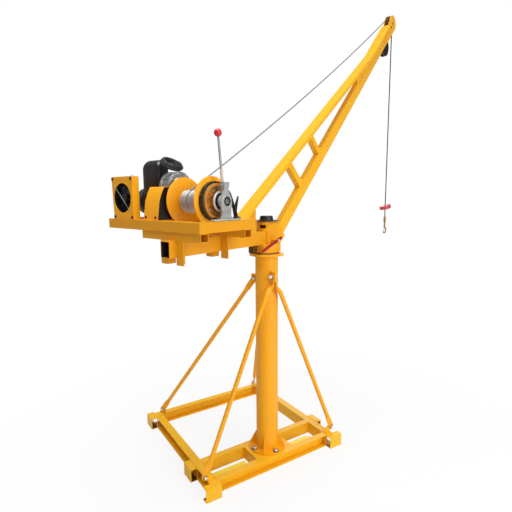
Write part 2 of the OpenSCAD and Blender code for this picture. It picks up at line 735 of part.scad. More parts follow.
// The gear case stands behind the drum's far flange: a round housing on the drum's axis, a
// smaller one above it, and a foot. A painted guard covers its rear side.
gear_l = 100;
gear_d = 180;
upper_gear_d = 162;
upper_gear_z = 1765;
guard_x = -625;
guard_low = 175;
guard_high = 132;
guard_h = 168;
case_gap = 0.5;
module gearbox() color("silver") difference() {
    union() {
        at_drum(gear_y + gear_l / 2) along_y(gear_d, gear_l);
        translate([-drum_x, gear_y + gear_l / 2 + 10, upper_gear_z]) along_y(upper_gear_d, gear_l - 20);
        translate([-drum_x - 70, gear_y, plat_z]) cube([190, gear_l, 40]);
    }
    translate([guard_x - 200, gear_y - 1, plat_z - 1]) cube([200, gear_l + 2, 400]);
    at_drum(gear_y) along_y(shaft_d + 2 * pin_clear, 42);
}
guard_l = 115;
module gearbox_cover() color(paint) plate_xz(gear_y, guard_l) polygon([[guard_x - case_gap, plat_z],
    [-drum_x - guard_low, plat_z], [-drum_x - guard_low + 16, plat_z + 100],
    [-drum_x - guard_high - 10, plat_z + guard_h - 28], [-drum_x - guard_high + 8, plat_z + guard_h],
    [guard_x - case_gap, plat_z + guard_h]]);

motor_y = gear_y + gear_l;
motor_l = 230;
motor_d = 150;
hood_y = 262;
hood_l = 144;
hood_r = 38;
hood_top = 1912;
module motor() color("dimgray") at_drum(motor_y + motor_l / 2) {
    along_y(motor_d, motor_l);
    translate([-60, -40, plat_z - drum_z]) cube([120, 80, 50]);
}
module motor_hood() color("black") difference() {
    union() {
        translate([-drum_x - 20, hood_y + hood_l / 2, hood_top - hood_r]) along_y(2 * hood_r, hood_l);
        translate([-drum_x - 20 - hood_r, hood_y, drum_z]) cube([2 * hood_r, hood_l, hood_top - hood_r - drum_z]);
    }
    at_drum(motor_y + motor_l / 2) along_y(motor_d + 2 * case_gap, motor_l + 2);
    translate([-drum_x - 200, hood_y - 1, drum_z - 1]) cube([400, hood_l + 2, 21]);
}

// The control cable comes out of the hood and goes back into it. Between, it lies in a tied coil
// on the gear case and leans on the hood.
coil_d = 95;
coil_bundle = 34;
coil_lean = 30;
coil_x = -552;
coil_gap = 0.06;
module control_cable() color("black") {
    back = coil_d / 2 * cos(coil_lean) + coil_bundle / 2 + coil_gap;
    rise = coil_d / 2 * sin(coil_lean) + coil_bundle / 2 + coil_gap;
    translate([coil_x, hood_y - back, upper_gear_z + upper_gear_d / 2 + rise]) rotate([coil_lean, 0, 0])
        rotate_extrude($fn = 72) translate([coil_d / 2, 0]) circle(d = coil_bundle, $fn = 32);
}

fan_y = 398;
fan_w = 188;
fan_h = 224;
fan_t = 42;
fan_x = -735;
fan_wall = 4;
fan_hole_d = 156;
fan_set = 22;
fan_hub_l = 20;
fan_pin_d = 12;
fan_taper = 12;
// The box is narrower at its foot: its far side leans out.
module fan_case(wall) translate([wall, 0, 0]) rotate([90, 0, 90]) linear_extrude(fan_t - 2 * wall)
    polygon([[wall, wall], [fan_w - fan_taper - wall, wall], [fan_w - wall, fan_h - wall], [wall, fan_h - wall]]);
module fan_box() color(paint) translate([fan_x, fan_y - fan_w / 2, plat_z]) {
    difference() {
        fan_case(0);
        fan_case(fan_wall);
        translate([0, fan_w / 2, fan_h / 2]) rotate([0, 90, 0])
            cylinder(d = fan_hole_d, h = 2 * fan_wall + 2, center = true, $fn = 64);
    }
    translate([fan_set - 6, fan_w / 2, fan_h / 2]) rotate([0, 90, 0])
        cylinder(d = fan_pin_d, h = fan_t - fan_set + 6, $fn = 48);
}
module cooling_fan() color("black") translate([fan_x + fan_set, fan_y, plat_z + fan_h / 2]) rotate([0, 90, 0]) {
    difference() {
        cylinder(d = 44, h = fan_hub_l, center = true, $fn = 32);
        translate([0, 0, -6.5]) cylinder(r = fan_pin_d / 2 + pin_clear, h = fan_hub_l, $fn = 48);
    }
    for (a = [0 : 60 : 300]) rotate([0, 0, a]) rotate([24, 0, 0]) translate([17, -13, -2]) cube([49, 26, 3]);
}

// ---- Rope and hook ----

// A cord is a closed tube: one ring of n points square to the route at each of its points.
function unit(v) = v / norm(v);
function along(p, i) = unit(p[min(i + 1, len(p) - 1)] - p[max(i - 1, 0)]);
function ring(c, t, side, r, n) = let (a = unit(cross(t, side)), b = cross(a, t))
    [for (k = [0 : n - 1]) c + r * (cos(360 * k / n) * a + sin(360 * k / n) * b)];
module cord(p, side, r, n = 8) {
    m = len(p);
    walls = [for (i = [0 : m - 2]) for (k = [0 : n - 1])
        [i * n + k, (i + 1) * n + k, (i + 1) * n + (k + 1) % n, i * n + (k + 1) % n]];
    polyhedron([for (i = [0 : m - 1]) each ring(p[i], along(p, i), side, r, n)],
        concat(walls, [[for (k = [0 : n - 1]) k]], [[for (k = [n - 1 : -1 : 0]) (m - 1) * n + k]]));
}

lay_r = sheave_d / 2 + rope_r;
head = jib(head_u, head_v);
hang_x = head[0] + lay_r;
rope_lean = 36;
rope_sag = 40;
rope_off = 30;
drum_rope_r = lay_d / 2 + rope_r + rope_gap;
rope_leave_y = 38;
rope_start = [-drum_x - drum_rope_r * sin(rope_off), rope_leave_y, drum_z + drum_rope_r * cos(rope_off)];
rope_end = [head[0] - lay_r * sin(rope_lean), 0, head[1] + lay_r * cos(rope_lean)];
rope_run = [for (i = [0 : 20]) let (t = i / 20)
    rope_start + t * (rope_end - rope_start) - [0, 0, 4 * rope_sag * t * (1 - t)]];
rope_wrap = [for (i = [1 : 10]) let (a = (90 + rope_lean) * (1 - i / 10))
    [head[0] + lay_r * cos(a), 0, head[1] + lay_r * sin(a)]];
module hoist_rope() color("gray") cord(concat(rope_run, rope_wrap), [0, 1, 0], rope_r);

rope_join = weight_z + weight_h + 8;
module hanging_rope() color("dimgray") translate([hang_x, 0, rope_join])
    cylinder(d = rope_d, h = head[1] - rope_join, $fn = 16);

// The weight is a thick disc that hangs a little askew on the rope that passes through it.
weight_tilt = [-8, -12, 0];
rope_play = 0.5;
module hook_weight() color("crimson") translate([hang_x, 0, weight_z + weight_h / 2]) difference() {
    rotate(weight_tilt) cylinder(d = weight_d, h = weight_h, center = true, $fn = 64);
    cylinder(r = rope_r + rope_play, h = 3 * weight_h, center = true, $fn = 24);
}

hook_z = weight_z - 12;
hook_turn = -4;
hook_r = 26;
module hook() color("goldenrod") translate([hang_x, 0, hook_z]) rotate([0, 0, hook_turn]) {
    translate([0, 0, -58]) cylinder(d = rope_d, h = rope_join - hook_z + 58, $fn = 24);
    translate([0, 0, -116]) cylinder(d = 22, h = 58, $fn = 32);
    translate([0, 0, -160]) cylinder(d = 14, h = 46, $fn = 32);
    translate([0, 0, -160 - hook_r]) rotate([90, 0, 0]) rotate([0, 0, 90])
        rotate_extrude(angle = -250, $fn = 64) translate([hook_r, 0]) circle(d = 13, $fn = 24);
}

cross_channels();
side_channels();
corner_feet();
column_seat();
ledge_strips();
column();
thrust_ring();
front_struts();
back_struts();
strut_foot_lugs();
slew_sleeve();
bearing_cap();
slew_keeper();
lock_lever();
knuckle_plates();
main_beam();
rear_gussets();
cross_tubes();
hanger_angles();
platform_long_rails();
platform_end_rails();
winch_bearers();
upper_chord();
lower_chord();
jib_braces();
head_cheeks();
limit_hoop();
head_sheave();
drum();
wound_rope();
pedestal();
brake_band();
brake_lever();
gearbox();
gearbox_cover();
motor();
motor_hood();
control_cable();
fan_box();
cooling_fan();
hoist_rope();
hanging_rope();
hook_weight();
hook();
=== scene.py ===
import json
from math import cos, pi, radians, sin, tan

import bpy
import numpy as np
from mathutils import Euler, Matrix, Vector


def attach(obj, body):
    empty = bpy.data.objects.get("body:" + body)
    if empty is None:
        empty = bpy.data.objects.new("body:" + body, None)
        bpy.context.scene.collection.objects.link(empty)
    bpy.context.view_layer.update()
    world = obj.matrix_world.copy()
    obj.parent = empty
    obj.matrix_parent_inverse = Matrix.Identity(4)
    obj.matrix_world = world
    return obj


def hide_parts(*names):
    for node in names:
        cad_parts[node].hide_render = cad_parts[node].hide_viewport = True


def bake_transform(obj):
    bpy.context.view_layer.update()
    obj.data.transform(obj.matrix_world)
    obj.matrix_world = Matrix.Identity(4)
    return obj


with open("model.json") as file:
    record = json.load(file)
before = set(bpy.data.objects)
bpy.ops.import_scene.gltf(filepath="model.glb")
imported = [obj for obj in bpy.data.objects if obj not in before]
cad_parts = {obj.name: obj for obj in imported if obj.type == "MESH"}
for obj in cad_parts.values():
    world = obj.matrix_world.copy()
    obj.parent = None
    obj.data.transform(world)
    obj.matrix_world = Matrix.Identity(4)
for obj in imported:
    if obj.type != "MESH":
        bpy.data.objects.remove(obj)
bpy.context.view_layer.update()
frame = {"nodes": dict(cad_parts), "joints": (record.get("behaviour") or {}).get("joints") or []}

nodes = frame["nodes"]
axes = {j["name"]: np.array(j.get("pos_m", (0, 0, 0)), float) for j in frame["joints"]}


# ---- The studio ----
# A plain pale floor under an even white surround. A large soft light stands on the brake lever's
# side and one hangs overhead. Two weak ones fill the base and the far side, so that the faces
# turned to the winch's rear stay in half shade.

camera_place = Vector((-2.0153, -1.5836, 1.7198))
camera_heading = radians(39.62)
camera_dip = radians(8.27)
camera_roll = radians(-0.41)
camera_data = bpy.data.cameras.new("camera")
camera_data.sensor_width = 36.0
camera_data.lens = 29.43
camera = bpy.data.objects.new("camera", camera_data)
bpy.context.scene.collection.objects.link(camera)
look = Vector((cos(camera_heading) * cos(camera_dip), sin(camera_heading) * cos(camera_dip),
               -sin(camera_dip)))
camera.location = camera_place
turned_camera = look.to_track_quat("-Z", "Y") @ Euler((0, 0, camera_roll)).to_quaternion()
camera.rotation_euler = turned_camera.to_euler()
bpy.context.scene.camera = camera
bpy.context.scene.view_settings.view_transform = "Standard"


def soft_light(name, place, target, size, power, colour=(1, 1, 1)):
    """A square area light of the given size in metres at place, facing target."""
    data = bpy.data.lights.new(name, "AREA")
    data.size = size
    data.energy = power
    data.color = colour
    lamp = bpy.data.objects.new(name, data)
    lamp.location = place
    lamp.rotation_euler = (Vector(target) - Vector(place)).to_track_quat("-Z", "Y").to_euler()
    bpy.context.scene.collection.objects.link(lamp)


def added(tree, kind, inputs=(), **settings):
    """A shader node of a kind with its settings. Each input is a pair of a socket and what goes into
    it: the output of another node, which is linked, or a value."""
    node = tree.nodes.new("ShaderNode" + kind)
    for name, value in settings.items():
        setattr(node, name, value)
    for socket, value in dict(inputs).items():
        if isinstance(value, bpy.types.NodeSocket):
            tree.links.new(value, node.inputs[socket])
        else:
            node.inputs[socket].default_value = value
    return node


soft_light("key", (-1.0, -5.2, 3.4), (0, 0, 1.5), 3.2, 162, (1.0, 0.99, 0.96))
soft_light("top", (-1.2, -0.2, 5.7), (0, 0, 1.4), 2.6, 180)
soft_light("low", (0.3, -2.4, 0.35), (0, -0.2, 0.05), 1.3, 9)
soft_light("rim", (4.6, 2.6, 3.4), (0.3, 0, 1.6), 2.4, 60)

world = bpy.data.worlds.new("surround")
bpy.context.scene.world = world
world.use_nodes = True
tree = world.node_tree
tree.nodes.clear()
path = added(tree, "LightPath").outputs
seen = added(tree, "Math", {0: path["Is Camera Ray"], 1: path["Is Transmission Ray"]}, operation="MAXIMUM")
ambient = added(tree, "Background", {"Color": (0.93, 0.96, 1.0, 1), "Strength": 0.36})
white = added(tree, "Background", {"Color": (1, 1, 1, 1)})
either = added(tree, "MixShader", {0: seen.outputs[0], 1: ambient.outputs[0], 2: white.outputs[0]})
added(tree, "OutputWorld", {"Surface": either.outputs[0]})

floor_mesh = bpy.data.meshes.new("studio_floor")
floor_size = 30.0
floor_mesh.from_pydata([(x * floor_size, y * floor_size, 0) for x, y in ((-1, -1), (1, -1), (1, 1), (-1, 1))],
                       [], [(0, 1, 2, 3)])
floor = bpy.data.objects.new("studio_floor", floor_mesh)
bpy.context.scene.collection.objects.link(floor)
paper = bpy.data.materials.new("studio_paper")
paper.use_nodes = True
tree = paper.node_tree
tree.nodes.clear()
where = added(tree, "TexCoord").outputs["Object"]
far = added(tree, "VectorMath", {0: where}, operation="LENGTH").outputs["Value"]
fade = added(tree, "MapRange",
             {"From Min": 0.75, "From Max": 2.2, "To Min": 0.84, "To Max": 1.0, "Value": far})
matt = added(tree, "BsdfDiffuse", {"Color": (0.82, 0.82, 0.82, 1)})
glow = added(tree, "Emission", {"Color": (1, 1, 1, 1)})
seen = added(tree, "LightPath").outputs["Is Camera Ray"]
share = added(tree, "Math", {0: seen, 1: fade.outputs[0]}, operation="MULTIPLY")
either = added(tree, "MixShader", {0: share.outputs[0], 1: matt.outputs[0], 2: glow.outputs[0]})
added(tree, "OutputMaterial", {"Surface": either.outputs[0]})
floor_mesh.materials.append(paper)


# ---- The control cable ----
# Eight millimetres of black rubber over the pendant's cores. It comes out of the hood, lies in a
# coil with two black ties that leans on the hood's front face, and goes back into its side.

def mixed(tree, share, under, over):
    """The output of a node that gives two colours mixed, by the share of the second."""
    inputs = {"A": under, "B": over, "Factor": share}
    return added(tree, "Mix", inputs, data_type="RGBA").outputs["Result"]


def surface(name, colour, rough, metal=0.0, mottle=0.06, mottle_size=9.0, grain=0.0, grain_size=400.0,
            edge_tint=None, coat=0.0, specular=0.5):
    """A Principled material: its colour is mottled by a large soft noise, its roughness by the same
    noise, its bump by a fine one, and its corners are rounded; given an edge colour, they are tinted
    lighter towards it where the surface turns, a painted highlight along the edges."""
    made = bpy.data.materials.new(name)
    made.use_nodes = True
    made.diffuse_color = (*colour, 1)
    t = made.node_tree
    shader = t.nodes["Principled BSDF"].inputs
    fixed = {"Metallic": metal, "Coat Weight": coat, "Coat Roughness": 0.12, "Specular IOR Level": specular}
    for socket, value in fixed.items():
        shader[socket].default_value = value
    where = added(t, "TexCoord").outputs["Object"]
    broad = added(t, "TexNoise", {"Scale": mottle_size, "Detail": 5, "Vector": where}).outputs["Fac"]
    darker = (*[c * (1 - mottle) for c in colour], 1)
    paler = (*[min(c * (1 + mottle), 1) for c in colour], 1)
    shade = mixed(t, broad, darker, paler)
    rounded = added(t, "Bevel", {"Radius": 0.0012}, samples=4).outputs[0]
    # Where the rounded normal leaves the face's own, the colour goes towards the lighter edge colour: a
    # painted highlight along the edges.
    if edge_tint is not None:
        facing = added(t, "NewGeometry").outputs["Normal"]
        turn = added(t, "VectorMath", {0: rounded, 1: facing}, operation="DOT_PRODUCT").outputs["Value"]
        edge_highlight_share = added(t, "MapRange",
                     {"From Min": 0.985, "From Max": 0.8, "To Max": 0.6, "Value": turn}).outputs[0]
        shade = mixed(t, edge_highlight_share, shade, (*edge_tint, 1))
    t.links.new(shade, shader["Base Color"])
    sheen = added(t, "MapRange",
                  {"To Min": rough * 0.8, "To Max": min(rough * 1.25, 1), "Value": broad}).outputs[0]
    t.links.new(sheen, shader["Roughness"])
    fine = added(t, "TexNoise", {"Scale": grain_size, "Detail": 3, "Vector": where}).outputs["Fac"]
    bump = added(t, "Bump",
                 {"Strength": grain, "Distance": 0.001, "Height": fine, "Normal": rounded}).outputs[0]
    t.links.new(bump, shader["Normal"])
    return made


def skin(rings, closed=False):
    """Quads between successive rings (k, m, 3) of m points; the ends are closed by flat faces, or
    the last ring joins the first when closed."""
    rings = np.asarray(rings, float)
    k, m = rings.shape[:2]
    i = np.arange(k if closed else k - 1)[:, None] * m
    n = (np.arange(1, (k if closed else k - 1) + 1) % k)[:, None] * m
    j = np.arange(m)
    q = (j + 1) % m
    faces = np.stack(np.broadcast_arrays(i + j, i + q, n + q, n + j), -1).reshape(-1, 4).tolist()
    if not closed:
        faces += [list(range(m)), list(range(k * m - m, k * m))]
    return rings.reshape(-1, 3), faces


def boxy(x, power):
    """A power of a sine or cosine that keeps its sign: below 1 it makes a circle squarer."""
    return np.sign(x) * np.abs(x) ** power


def unit(rows):
    """Vectors (k, 3), each made one long."""
    return rows / np.linalg.norm(rows, axis=1)[:, None]


def tube(path, radius, m=10):
    """A round bar along path (k, 3): each ring stands square to the path and is turned as little as
    possible from the one before; radius is one value or one per point."""
    path = np.asarray(path, float)
    along = unit(np.gradient(path, axis=0))
    side = np.cross(along[0], (0, 0, 1.0) if abs(along[0][2]) < 0.9 else (1.0, 0, 0))
    sides = []
    for t in along:
        side = side - t * (side @ t)
        side /= np.linalg.norm(side)
        sides.append(side)
    a = np.array(sides)
    b = np.cross(along, a)
    turn = np.linspace(0, 2 * pi, m, endpoint=False)
    r = np.broadcast_to(np.asarray(radius, float).reshape(-1, 1, 1), (len(path), 1, 1))
    ring = np.cos(turn)[None, :, None] * a[:, None] + np.sin(turn)[None, :, None] * b[:, None]
    return skin(path[:, None] + r * ring)


def piece(name, body, parts, materials, crease=32, stands_for=()):
    """One object of closed parts (points, faces, material index): every part is turned faces
    outwards by the sign of its volume, then the object rides with its body."""
    points, faces, looks, start = [], [], [], 0
    for part in parts:
        p, f = np.asarray(part[0], float), part[1]
        volume = 0.0
        middle = p.mean(0)
        for size in {len(c) for c in f}:
            q = p[np.array([c for c in f if len(c) == size])] - middle
            for k in range(1, size - 1):
                volume += np.einsum("ij,ij->i", q[:, 0], np.cross(q[:, k], q[:, k + 1])).sum()
        if volume < 0:
            f = [c[::-1] for c in f]
        points.append(p)
        faces += [[v + start for v in c] for c in f]
        looks += [part[2] if len(part) > 2 else 0] * len(f)
        start += len(p)
    mesh = bpy.data.meshes.new(name)
    mesh.from_pydata(np.concatenate(points), [], faces)
    for material in materials:
        mesh.materials.append(material)
    mesh.polygons.foreach_set("material_index", looks)
    mesh.shade_smooth()
    mesh.set_sharp_from_angle(angle=radians(crease))
    made = bpy.data.objects.new(name, mesh)
    bpy.context.scene.collection.objects.link(made)
    if body:
        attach(made, body)
    if stands_for:
        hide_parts(*stands_for)
    return made


rubber = surface("black_rubber", (0.017, 0.016, 0.016), 0.5, mottle=0.2, mottle_size=40, grain=0.35,
                 grain_size=700)
cable_r, coil_r, coil_lean = 0.004, 0.0475, radians(30)
coil_middle = np.array((-0.552, 0.2038, 1.8868))
coil_side = np.array((1.0, 0, 0))
coil_up = np.array((0, cos(coil_lean), sin(coil_lean)))
coil_axis = np.array((0, -sin(coil_lean), cos(coil_lean)))
rows = ((-0.0105, (0.008, 0, -0.008)), (-0.0035, (-0.012, -0.004, 0.004, 0.012)),
        (0.0035, (0.008, 0, -0.008)), (0.0105, (-0.004, 0.004)))
lanes = np.array([(out, high) for high, outs in rows for out in outs])


def coil_points(turns, out, high):
    """Points of the coil: at a turn t the radius is coil_r + out, square to the coil's axis, and the
    height along the axis is high."""
    a = 2 * pi * turns
    return (coil_middle + ((coil_r + out) * np.cos(a))[:, None] * coil_side
            + ((coil_r + out) * np.sin(a))[:, None] * coil_up + np.asarray(high)[:, None] * coil_axis)


# Each turn keeps its own lane for three quarters and crosses smoothly to the next in the last.
wound = np.linspace(0, len(lanes) - 0.28, 48 * len(lanes))
lane = np.minimum(wound.astype(int), len(lanes) - 1)
cross = np.clip((wound - lane) * 4 - 3, 0, 1)
cross = (cross * cross * (3 - 2 * cross))[:, None]
shift = lanes[lane] * (1 - cross) + lanes[np.minimum(lane + 1, len(lanes) - 1)] * cross
coil = coil_points(wound + 0.28, shift[:, 0], shift[:, 1])


def eased(start, start_way, end, end_way, n=16):
    """A cubic that leaves start along start_way and reaches end along end_way (Hermite form)."""
    t = np.linspace(0, 1, n)[:, None]
    a, b, c, d = (np.asarray(v, float) for v in (start, end, start_way, end_way))
    return ((2 * t**3 - 3 * t**2 + 1) * a + (t**3 - 2 * t**2 + t) * c + (3 * t**2 - 2 * t**3) * b
            + (t**3 - t**2) * d)


first_way, last_way = coil[1] - coil[0], coil[-1] - coil[-2]
lead_in = eased((-0.529, 0.264, 1.89), (-0.03, -0.006, 0.022), coil[0],
                first_way / np.linalg.norm(first_way) * 0.035)
lead_out = eased(coil[-1], last_way / np.linalg.norm(last_way) * 0.11, (-0.5245, 0.312, 1.878),
                 (-0.05, 0.024, -0.075), 24)
route = np.concatenate((lead_in[:-1], coil, lead_out[1:]))
cable = piece("control_cable_coil", "jib", [tube(route, cable_r, 10)], [rubber], crease=60,
              stands_for=["control_cable"])
ties = []
for at in (0.55, 0.86):
    around = np.linspace(0, 2 * pi, 40, endpoint=False)
    band = []
    for wide, thick in ((-0.0022, 0), (0.0022, 0), (0.0022, 0.0011), (-0.0022, 0.0011)):
        out = boxy(np.cos(around), 0.85) * (0.0159 + thick)
        high = boxy(np.sin(around), 0.85) * (0.0146 + thick)
        band.append(coil_points(np.full(40, at) + wide / (2 * pi * coil_r), out, high))
    ties.append(skin(np.array(band), True))
bands = piece("cable_ties", "jib", ties, [rubber])


# ---- The floor frame's channels and feet ----
# Hot-rolled steel channels, cut square and welded into a frame, with short channel ends as feet.
# They are sprayed orange-yellow, here a lighter copy of the orange enamel as painted light, with painted
# shade inside the feet, and two strips are lemon yellow.

def paint(material, *names):
    """Gives CAD nodes one material."""
    for name in names:
        nodes[name].data.materials.clear()
        nodes[name].data.materials.append(material)


def painted_shade_inside(material, name, sizes, middle, round_about=None, bare=(0.045, 0.024, 0.01, 1), yaw=0.0):
    """A copy of a paint whose colour turns to a darker inside colour, painted shade in a hollow, inside
    a box of the given half sizes about middle, and also inside an upright cylinder of the radius
    round_about when one is given; yaw turns the box about Z."""
    made = material.copy()
    made.name = name
    t = made.node_tree
    base_colour = t.nodes["Principled BSDF"].inputs["Base Color"]
    colour = base_colour.links[0].from_socket
    where = added(t, "TexCoord").outputs["Object"]
    spun = added(t, "VectorRotate", {"Angle": -yaw, "Vector": where}, rotation_type="Z_AXIS").outputs[0]
    local = added(t, "VectorMath", {1: middle, 0: spun}, operation="SUBTRACT").outputs[0]
    split = added(t, "SeparateXYZ", {0: local}).outputs
    masks = [added(t, "Math", {1: 0, 2: half, 0: split[k]}, operation="COMPARE").outputs[0]
             for k, half in enumerate(sizes) if half is not None]
    if round_about is not None:
        flat = added(t, "VectorMath", {1: (1, 1, 0), 0: local}, operation="MULTIPLY").outputs[0]
        reach = added(t, "VectorMath", {0: flat}, operation="LENGTH").outputs["Value"]
        masks.append(added(t, "Math", {1: round_about, 0: reach}, operation="LESS_THAN").outputs[0])
    inside = masks[0]
    for mask in masks[1:]:
        inside = added(t, "Math", {0: inside, 1: mask}, operation="MULTIPLY").outputs[0]
    t.links.new(mixed(t, inside, colour, bare), base_colour)
    return made


# Each orange enamel tints its edges lighter: a painted highlight along the edges.
enamel = dict(mottle=0.05, grain=0.06, grain_size=260, coat=0.06, specular=0.28)
orange = surface("orange_enamel", (0.93, 0.395, 0.006), 0.42, edge_tint=(1.0, 0.52, 0.03), **enamel)
# Two lighter copies of the orange enamel, for the jib and for the base: painted light.
jib_lit_orange = surface("orange_enamel_fresh", (0.93, 0.455, 0.009), 0.42, edge_tint=(1.0, 0.56, 0.04),
                       **enamel)
base_lit_orange = surface("orange_enamel_base", (0.93, 0.495, 0.012), 0.42, edge_tint=(1.0, 0.6, 0.05), **enamel)
lemon = surface("lemon_enamel", (0.93, 0.66, 0.008), 0.4, mottle=0.04, grain=0.12, grain_size=260, coat=0.1)
paint(base_lit_orange, "cross_channels", "side_channels", "column_seat")
paint(lemon, "ledge_strips")

base_yaw = radians(-17.5)


def on_base(points):
    """Turns points (n, 3) of the base's own axes into the row frame, by the base's yaw about Z."""
    p = np.asarray(points, float)
    c, s = cos(base_yaw), sin(base_yaw)
    return np.stack((p[..., 0] * c - p[..., 1] * s, p[..., 0] * s + p[..., 1] * c, p[..., 2]), -1)


def all_on_base(parts, first=0):
    """Parts turned by on_base, with first added to the index of each one's material."""
    return [(on_base(part[0]), part[1], first + (part[2] if len(part) > 2 else 0)) for part in parts]


def spaced(path, step):
    """Lengths and points at about every step along a path (k, 3), at least four of them."""
    p = np.asarray(path, float)
    reach = np.concatenate(([0], np.cumsum(np.linalg.norm(np.diff(p, axis=0), axis=1))))
    at = np.linspace(0, reach[-1], max(int(reach[-1] / step), 4))
    return at, np.stack([np.interp(at, reach, p[:, i]) for i in range(3)], -1)


def weld(*corners, radius=0.0028):
    """A weld bead through the corners: a bar whose radius swells every 3 mm like overlapping drops."""
    at, path = spaced(corners, 0.0015)
    return tube(path, radius * (1 + 0.16 * np.cos(2 * pi * at / 0.003)), 7)


offset, half_w, side_web, back_edge, front_edge = -0.012, 0.475, 0.423, 0.822, 0.126
second_web, flange, foot_l, foot_out = 0.071, 0.043, 0.1, 0.044
wall = 0.0058
hollow = (half_w + foot_out - wall, 0.6, 0.04 - wall + 0.001)
hollow_middle = (offset, 0.6 - front_edge - foot_out + wall, 0.04)
# The insides of the feet turn dark brown: painted shade in the channels' hollows.
paint(painted_shade_inside(base_lit_orange, "orange_enamel_feet", hollow, hollow_middle, bare=(0.1, 0.045, 0.01, 1),
                       yaw=base_yaw), "corner_feet")
seam_low, seam_high = 0.004, 0.077
beads = []
for x, side in ((-side_web, -1), (side_web, 1)):
    for y in (flange - front_edge, second_web, back_edge):
        beads.append(weld((offset + x, y, seam_low), (offset + x, y, seam_high)))
        beads.append(weld((offset + x, y - 0.04, 0.0805), (offset + x, y - 0.002, 0.0805)))
    for y in (second_web + flange / 2, back_edge + 0.018 - foot_l / 2):
        for end in (-foot_l / 2, foot_l / 2):
            beads.append(weld((offset + side * half_w, y + end, seam_low),
                              (offset + side * half_w, y + end, seam_high)))
        beads.append(weld((offset + side * half_w, y - 0.045, 0.0802),
                          (offset + side * half_w, y + 0.045, 0.0802)))
    for end in (half_w + foot_out - foot_l, half_w):
        beads.append(weld((offset + side * end, -front_edge, seam_low),
                          (offset + side * end, -front_edge, seam_high)))
piece("base_welds", "base", all_on_base(beads), [base_lit_orange])


# ---- The column ----
# A steel pipe on a turned foot flange, with four gussets and a lighter flange on top, all welded.
# Four galvanised bolts hold the foot flange down on its seat between the two front channels.

def axes_about(direction):
    """Two unit vectors square to a direction and to each other."""
    d = np.asarray(direction, float) / np.linalg.norm(direction)
    a = np.cross(d, (0, 0, 1.0) if abs(d[2]) < 0.9 else (1.0, 0, 0))
    a /= np.linalg.norm(a)
    return d, a, np.cross(d, a)


def turned(profile, centre, direction, n=48, closed=False, phase=0.0):
    """A body turned about the line through centre: profile gives (radius, height along the line)."""
    d, a, b = axes_about(direction)
    p = np.asarray(profile, float)
    turn = np.linspace(0, 2 * pi, n, endpoint=False) + phase
    ring = np.cos(turn)[:, None] * a + np.sin(turn)[:, None] * b
    return skin(np.asarray(centre, float) + p[:, 1][:, None, None] * d + p[:, 0][:, None, None] * ring,
                closed)


def bolt(at, direction, size=0.012, grip=0.0):
    """A hexagon head on its washer, seated at `at` and pointing along direction; with a grip, its
    shank, nut and thread end come out on the far side."""
    way = np.asarray(direction, float)
    h, r = size * 0.62, size * 0.86
    washer = [(size * 1.12, -0.0004), (size * 1.12, size * 0.17), (size * 0.5, size * 0.19)]
    parts = [turned(washer, at, way, 24) + (1,),
             turned([(r * 0.97, size * 0.1), (r, size * 0.25), (r, h), (r * 0.86, h + size * 0.14)], at, way,
                    6, phase=0.3) + (0,)]
    if grip:
        far = np.asarray(at, float) - way * grip
        parts += [turned(washer, far, -way, 24) + (1,),
                  turned([(r * 0.97, size * 0.1), (r, size * 0.25), (r, size * 0.8), (r * 0.9, size * 0.9)],
                         far, -way, 6) + (0,),
                  turned([(size * 0.5, -grip - size * 0.3), (size * 0.5, size * 1.3),
                          (size * 0.36, size * 1.45)], far, -way, 16) + (0,)]
    return parts


def plain_bolt(look, *sizes):
    """A bolt whose head and washer share one material."""
    return [(p, f, look) for p, f, m in bolt(*sizes)]


zinc = surface("zinc_plate", (0.62, 0.62, 0.6), 0.32, metal=0.85, mottle=0.15, mottle_size=60, grain=0.2)
dark_zinc = surface("dark_washer", (0.1, 0.09, 0.085), 0.45, metal=0.6, mottle=0.2, mottle_size=60)
paint(orange, "column")
column_r, seat_top, flange_top, bolt_ring_r = 0.07, 0.08, 0.093, 0.098
collar = [weld(*[(column_r * cos(a), column_r * sin(a), z) for a in np.linspace(a0, a1, 14)], radius=0.0035)
          for z in (flange_top, 1.3535)
          for a0, a1 in ((q + 0.09, q + pi / 2 - 0.09) for q in np.arange(4) * pi / 2 + pi / 4)]
for q in np.arange(4) * pi / 2 + pi / 4:
    for s in (-1, 1):
        c, d = np.array((cos(q), sin(q))), np.array((-sin(q), cos(q))) * 0.004 * s
        collar.append(weld((*(c * column_r + d), flange_top + 0.003), (*(c * column_r + d), 0.172)))
        collar.append(weld((*(c * 0.074 + d), flange_top), (*(c * 0.112 + d), flange_top)))
piece("column_welds", "base", all_on_base(collar), [orange])
foot_bolts = []
for q in np.arange(4) * pi / 2:
    foot_bolts += bolt((bolt_ring_r * cos(q), bolt_ring_r * sin(q), flange_top), (0, 0, 1), 0.016)
piece("column_foot_bolts", "base", all_on_base(foot_bolts), [zinc, dark_zinc])


# ---- The four struts ----
# Round tubes whose ends are pressed flat and drilled. The front pair meets on one lug, where the
# ends are bent upright, and each rear strut has its own lug. M12 bolts go through every end.

def pressed(path, across, widths, depths, powers):
    """A tube of changing section along path: a superellipse with half-width along `across`,
    half-depth square to it and a power that makes it round at 2 and boxy at 8."""
    path, across = np.asarray(path, float), np.asarray(across, float)
    along = unit(np.gradient(path, axis=0))
    a = unit(across - along * np.einsum("ij,ij->i", across, along)[:, None])
    b = np.cross(along, a)
    t = np.linspace(0, 2 * pi, 28, endpoint=False)
    e = 2 / np.asarray(powers, float)[:, None]
    u = boxy(np.cos(t), e) * np.asarray(widths, float)[:, None]
    v = boxy(np.sin(t), e) * np.asarray(depths, float)[:, None]
    return skin(path[:, None] + u[..., None] * a[:, None] + v[..., None] * b[:, None])
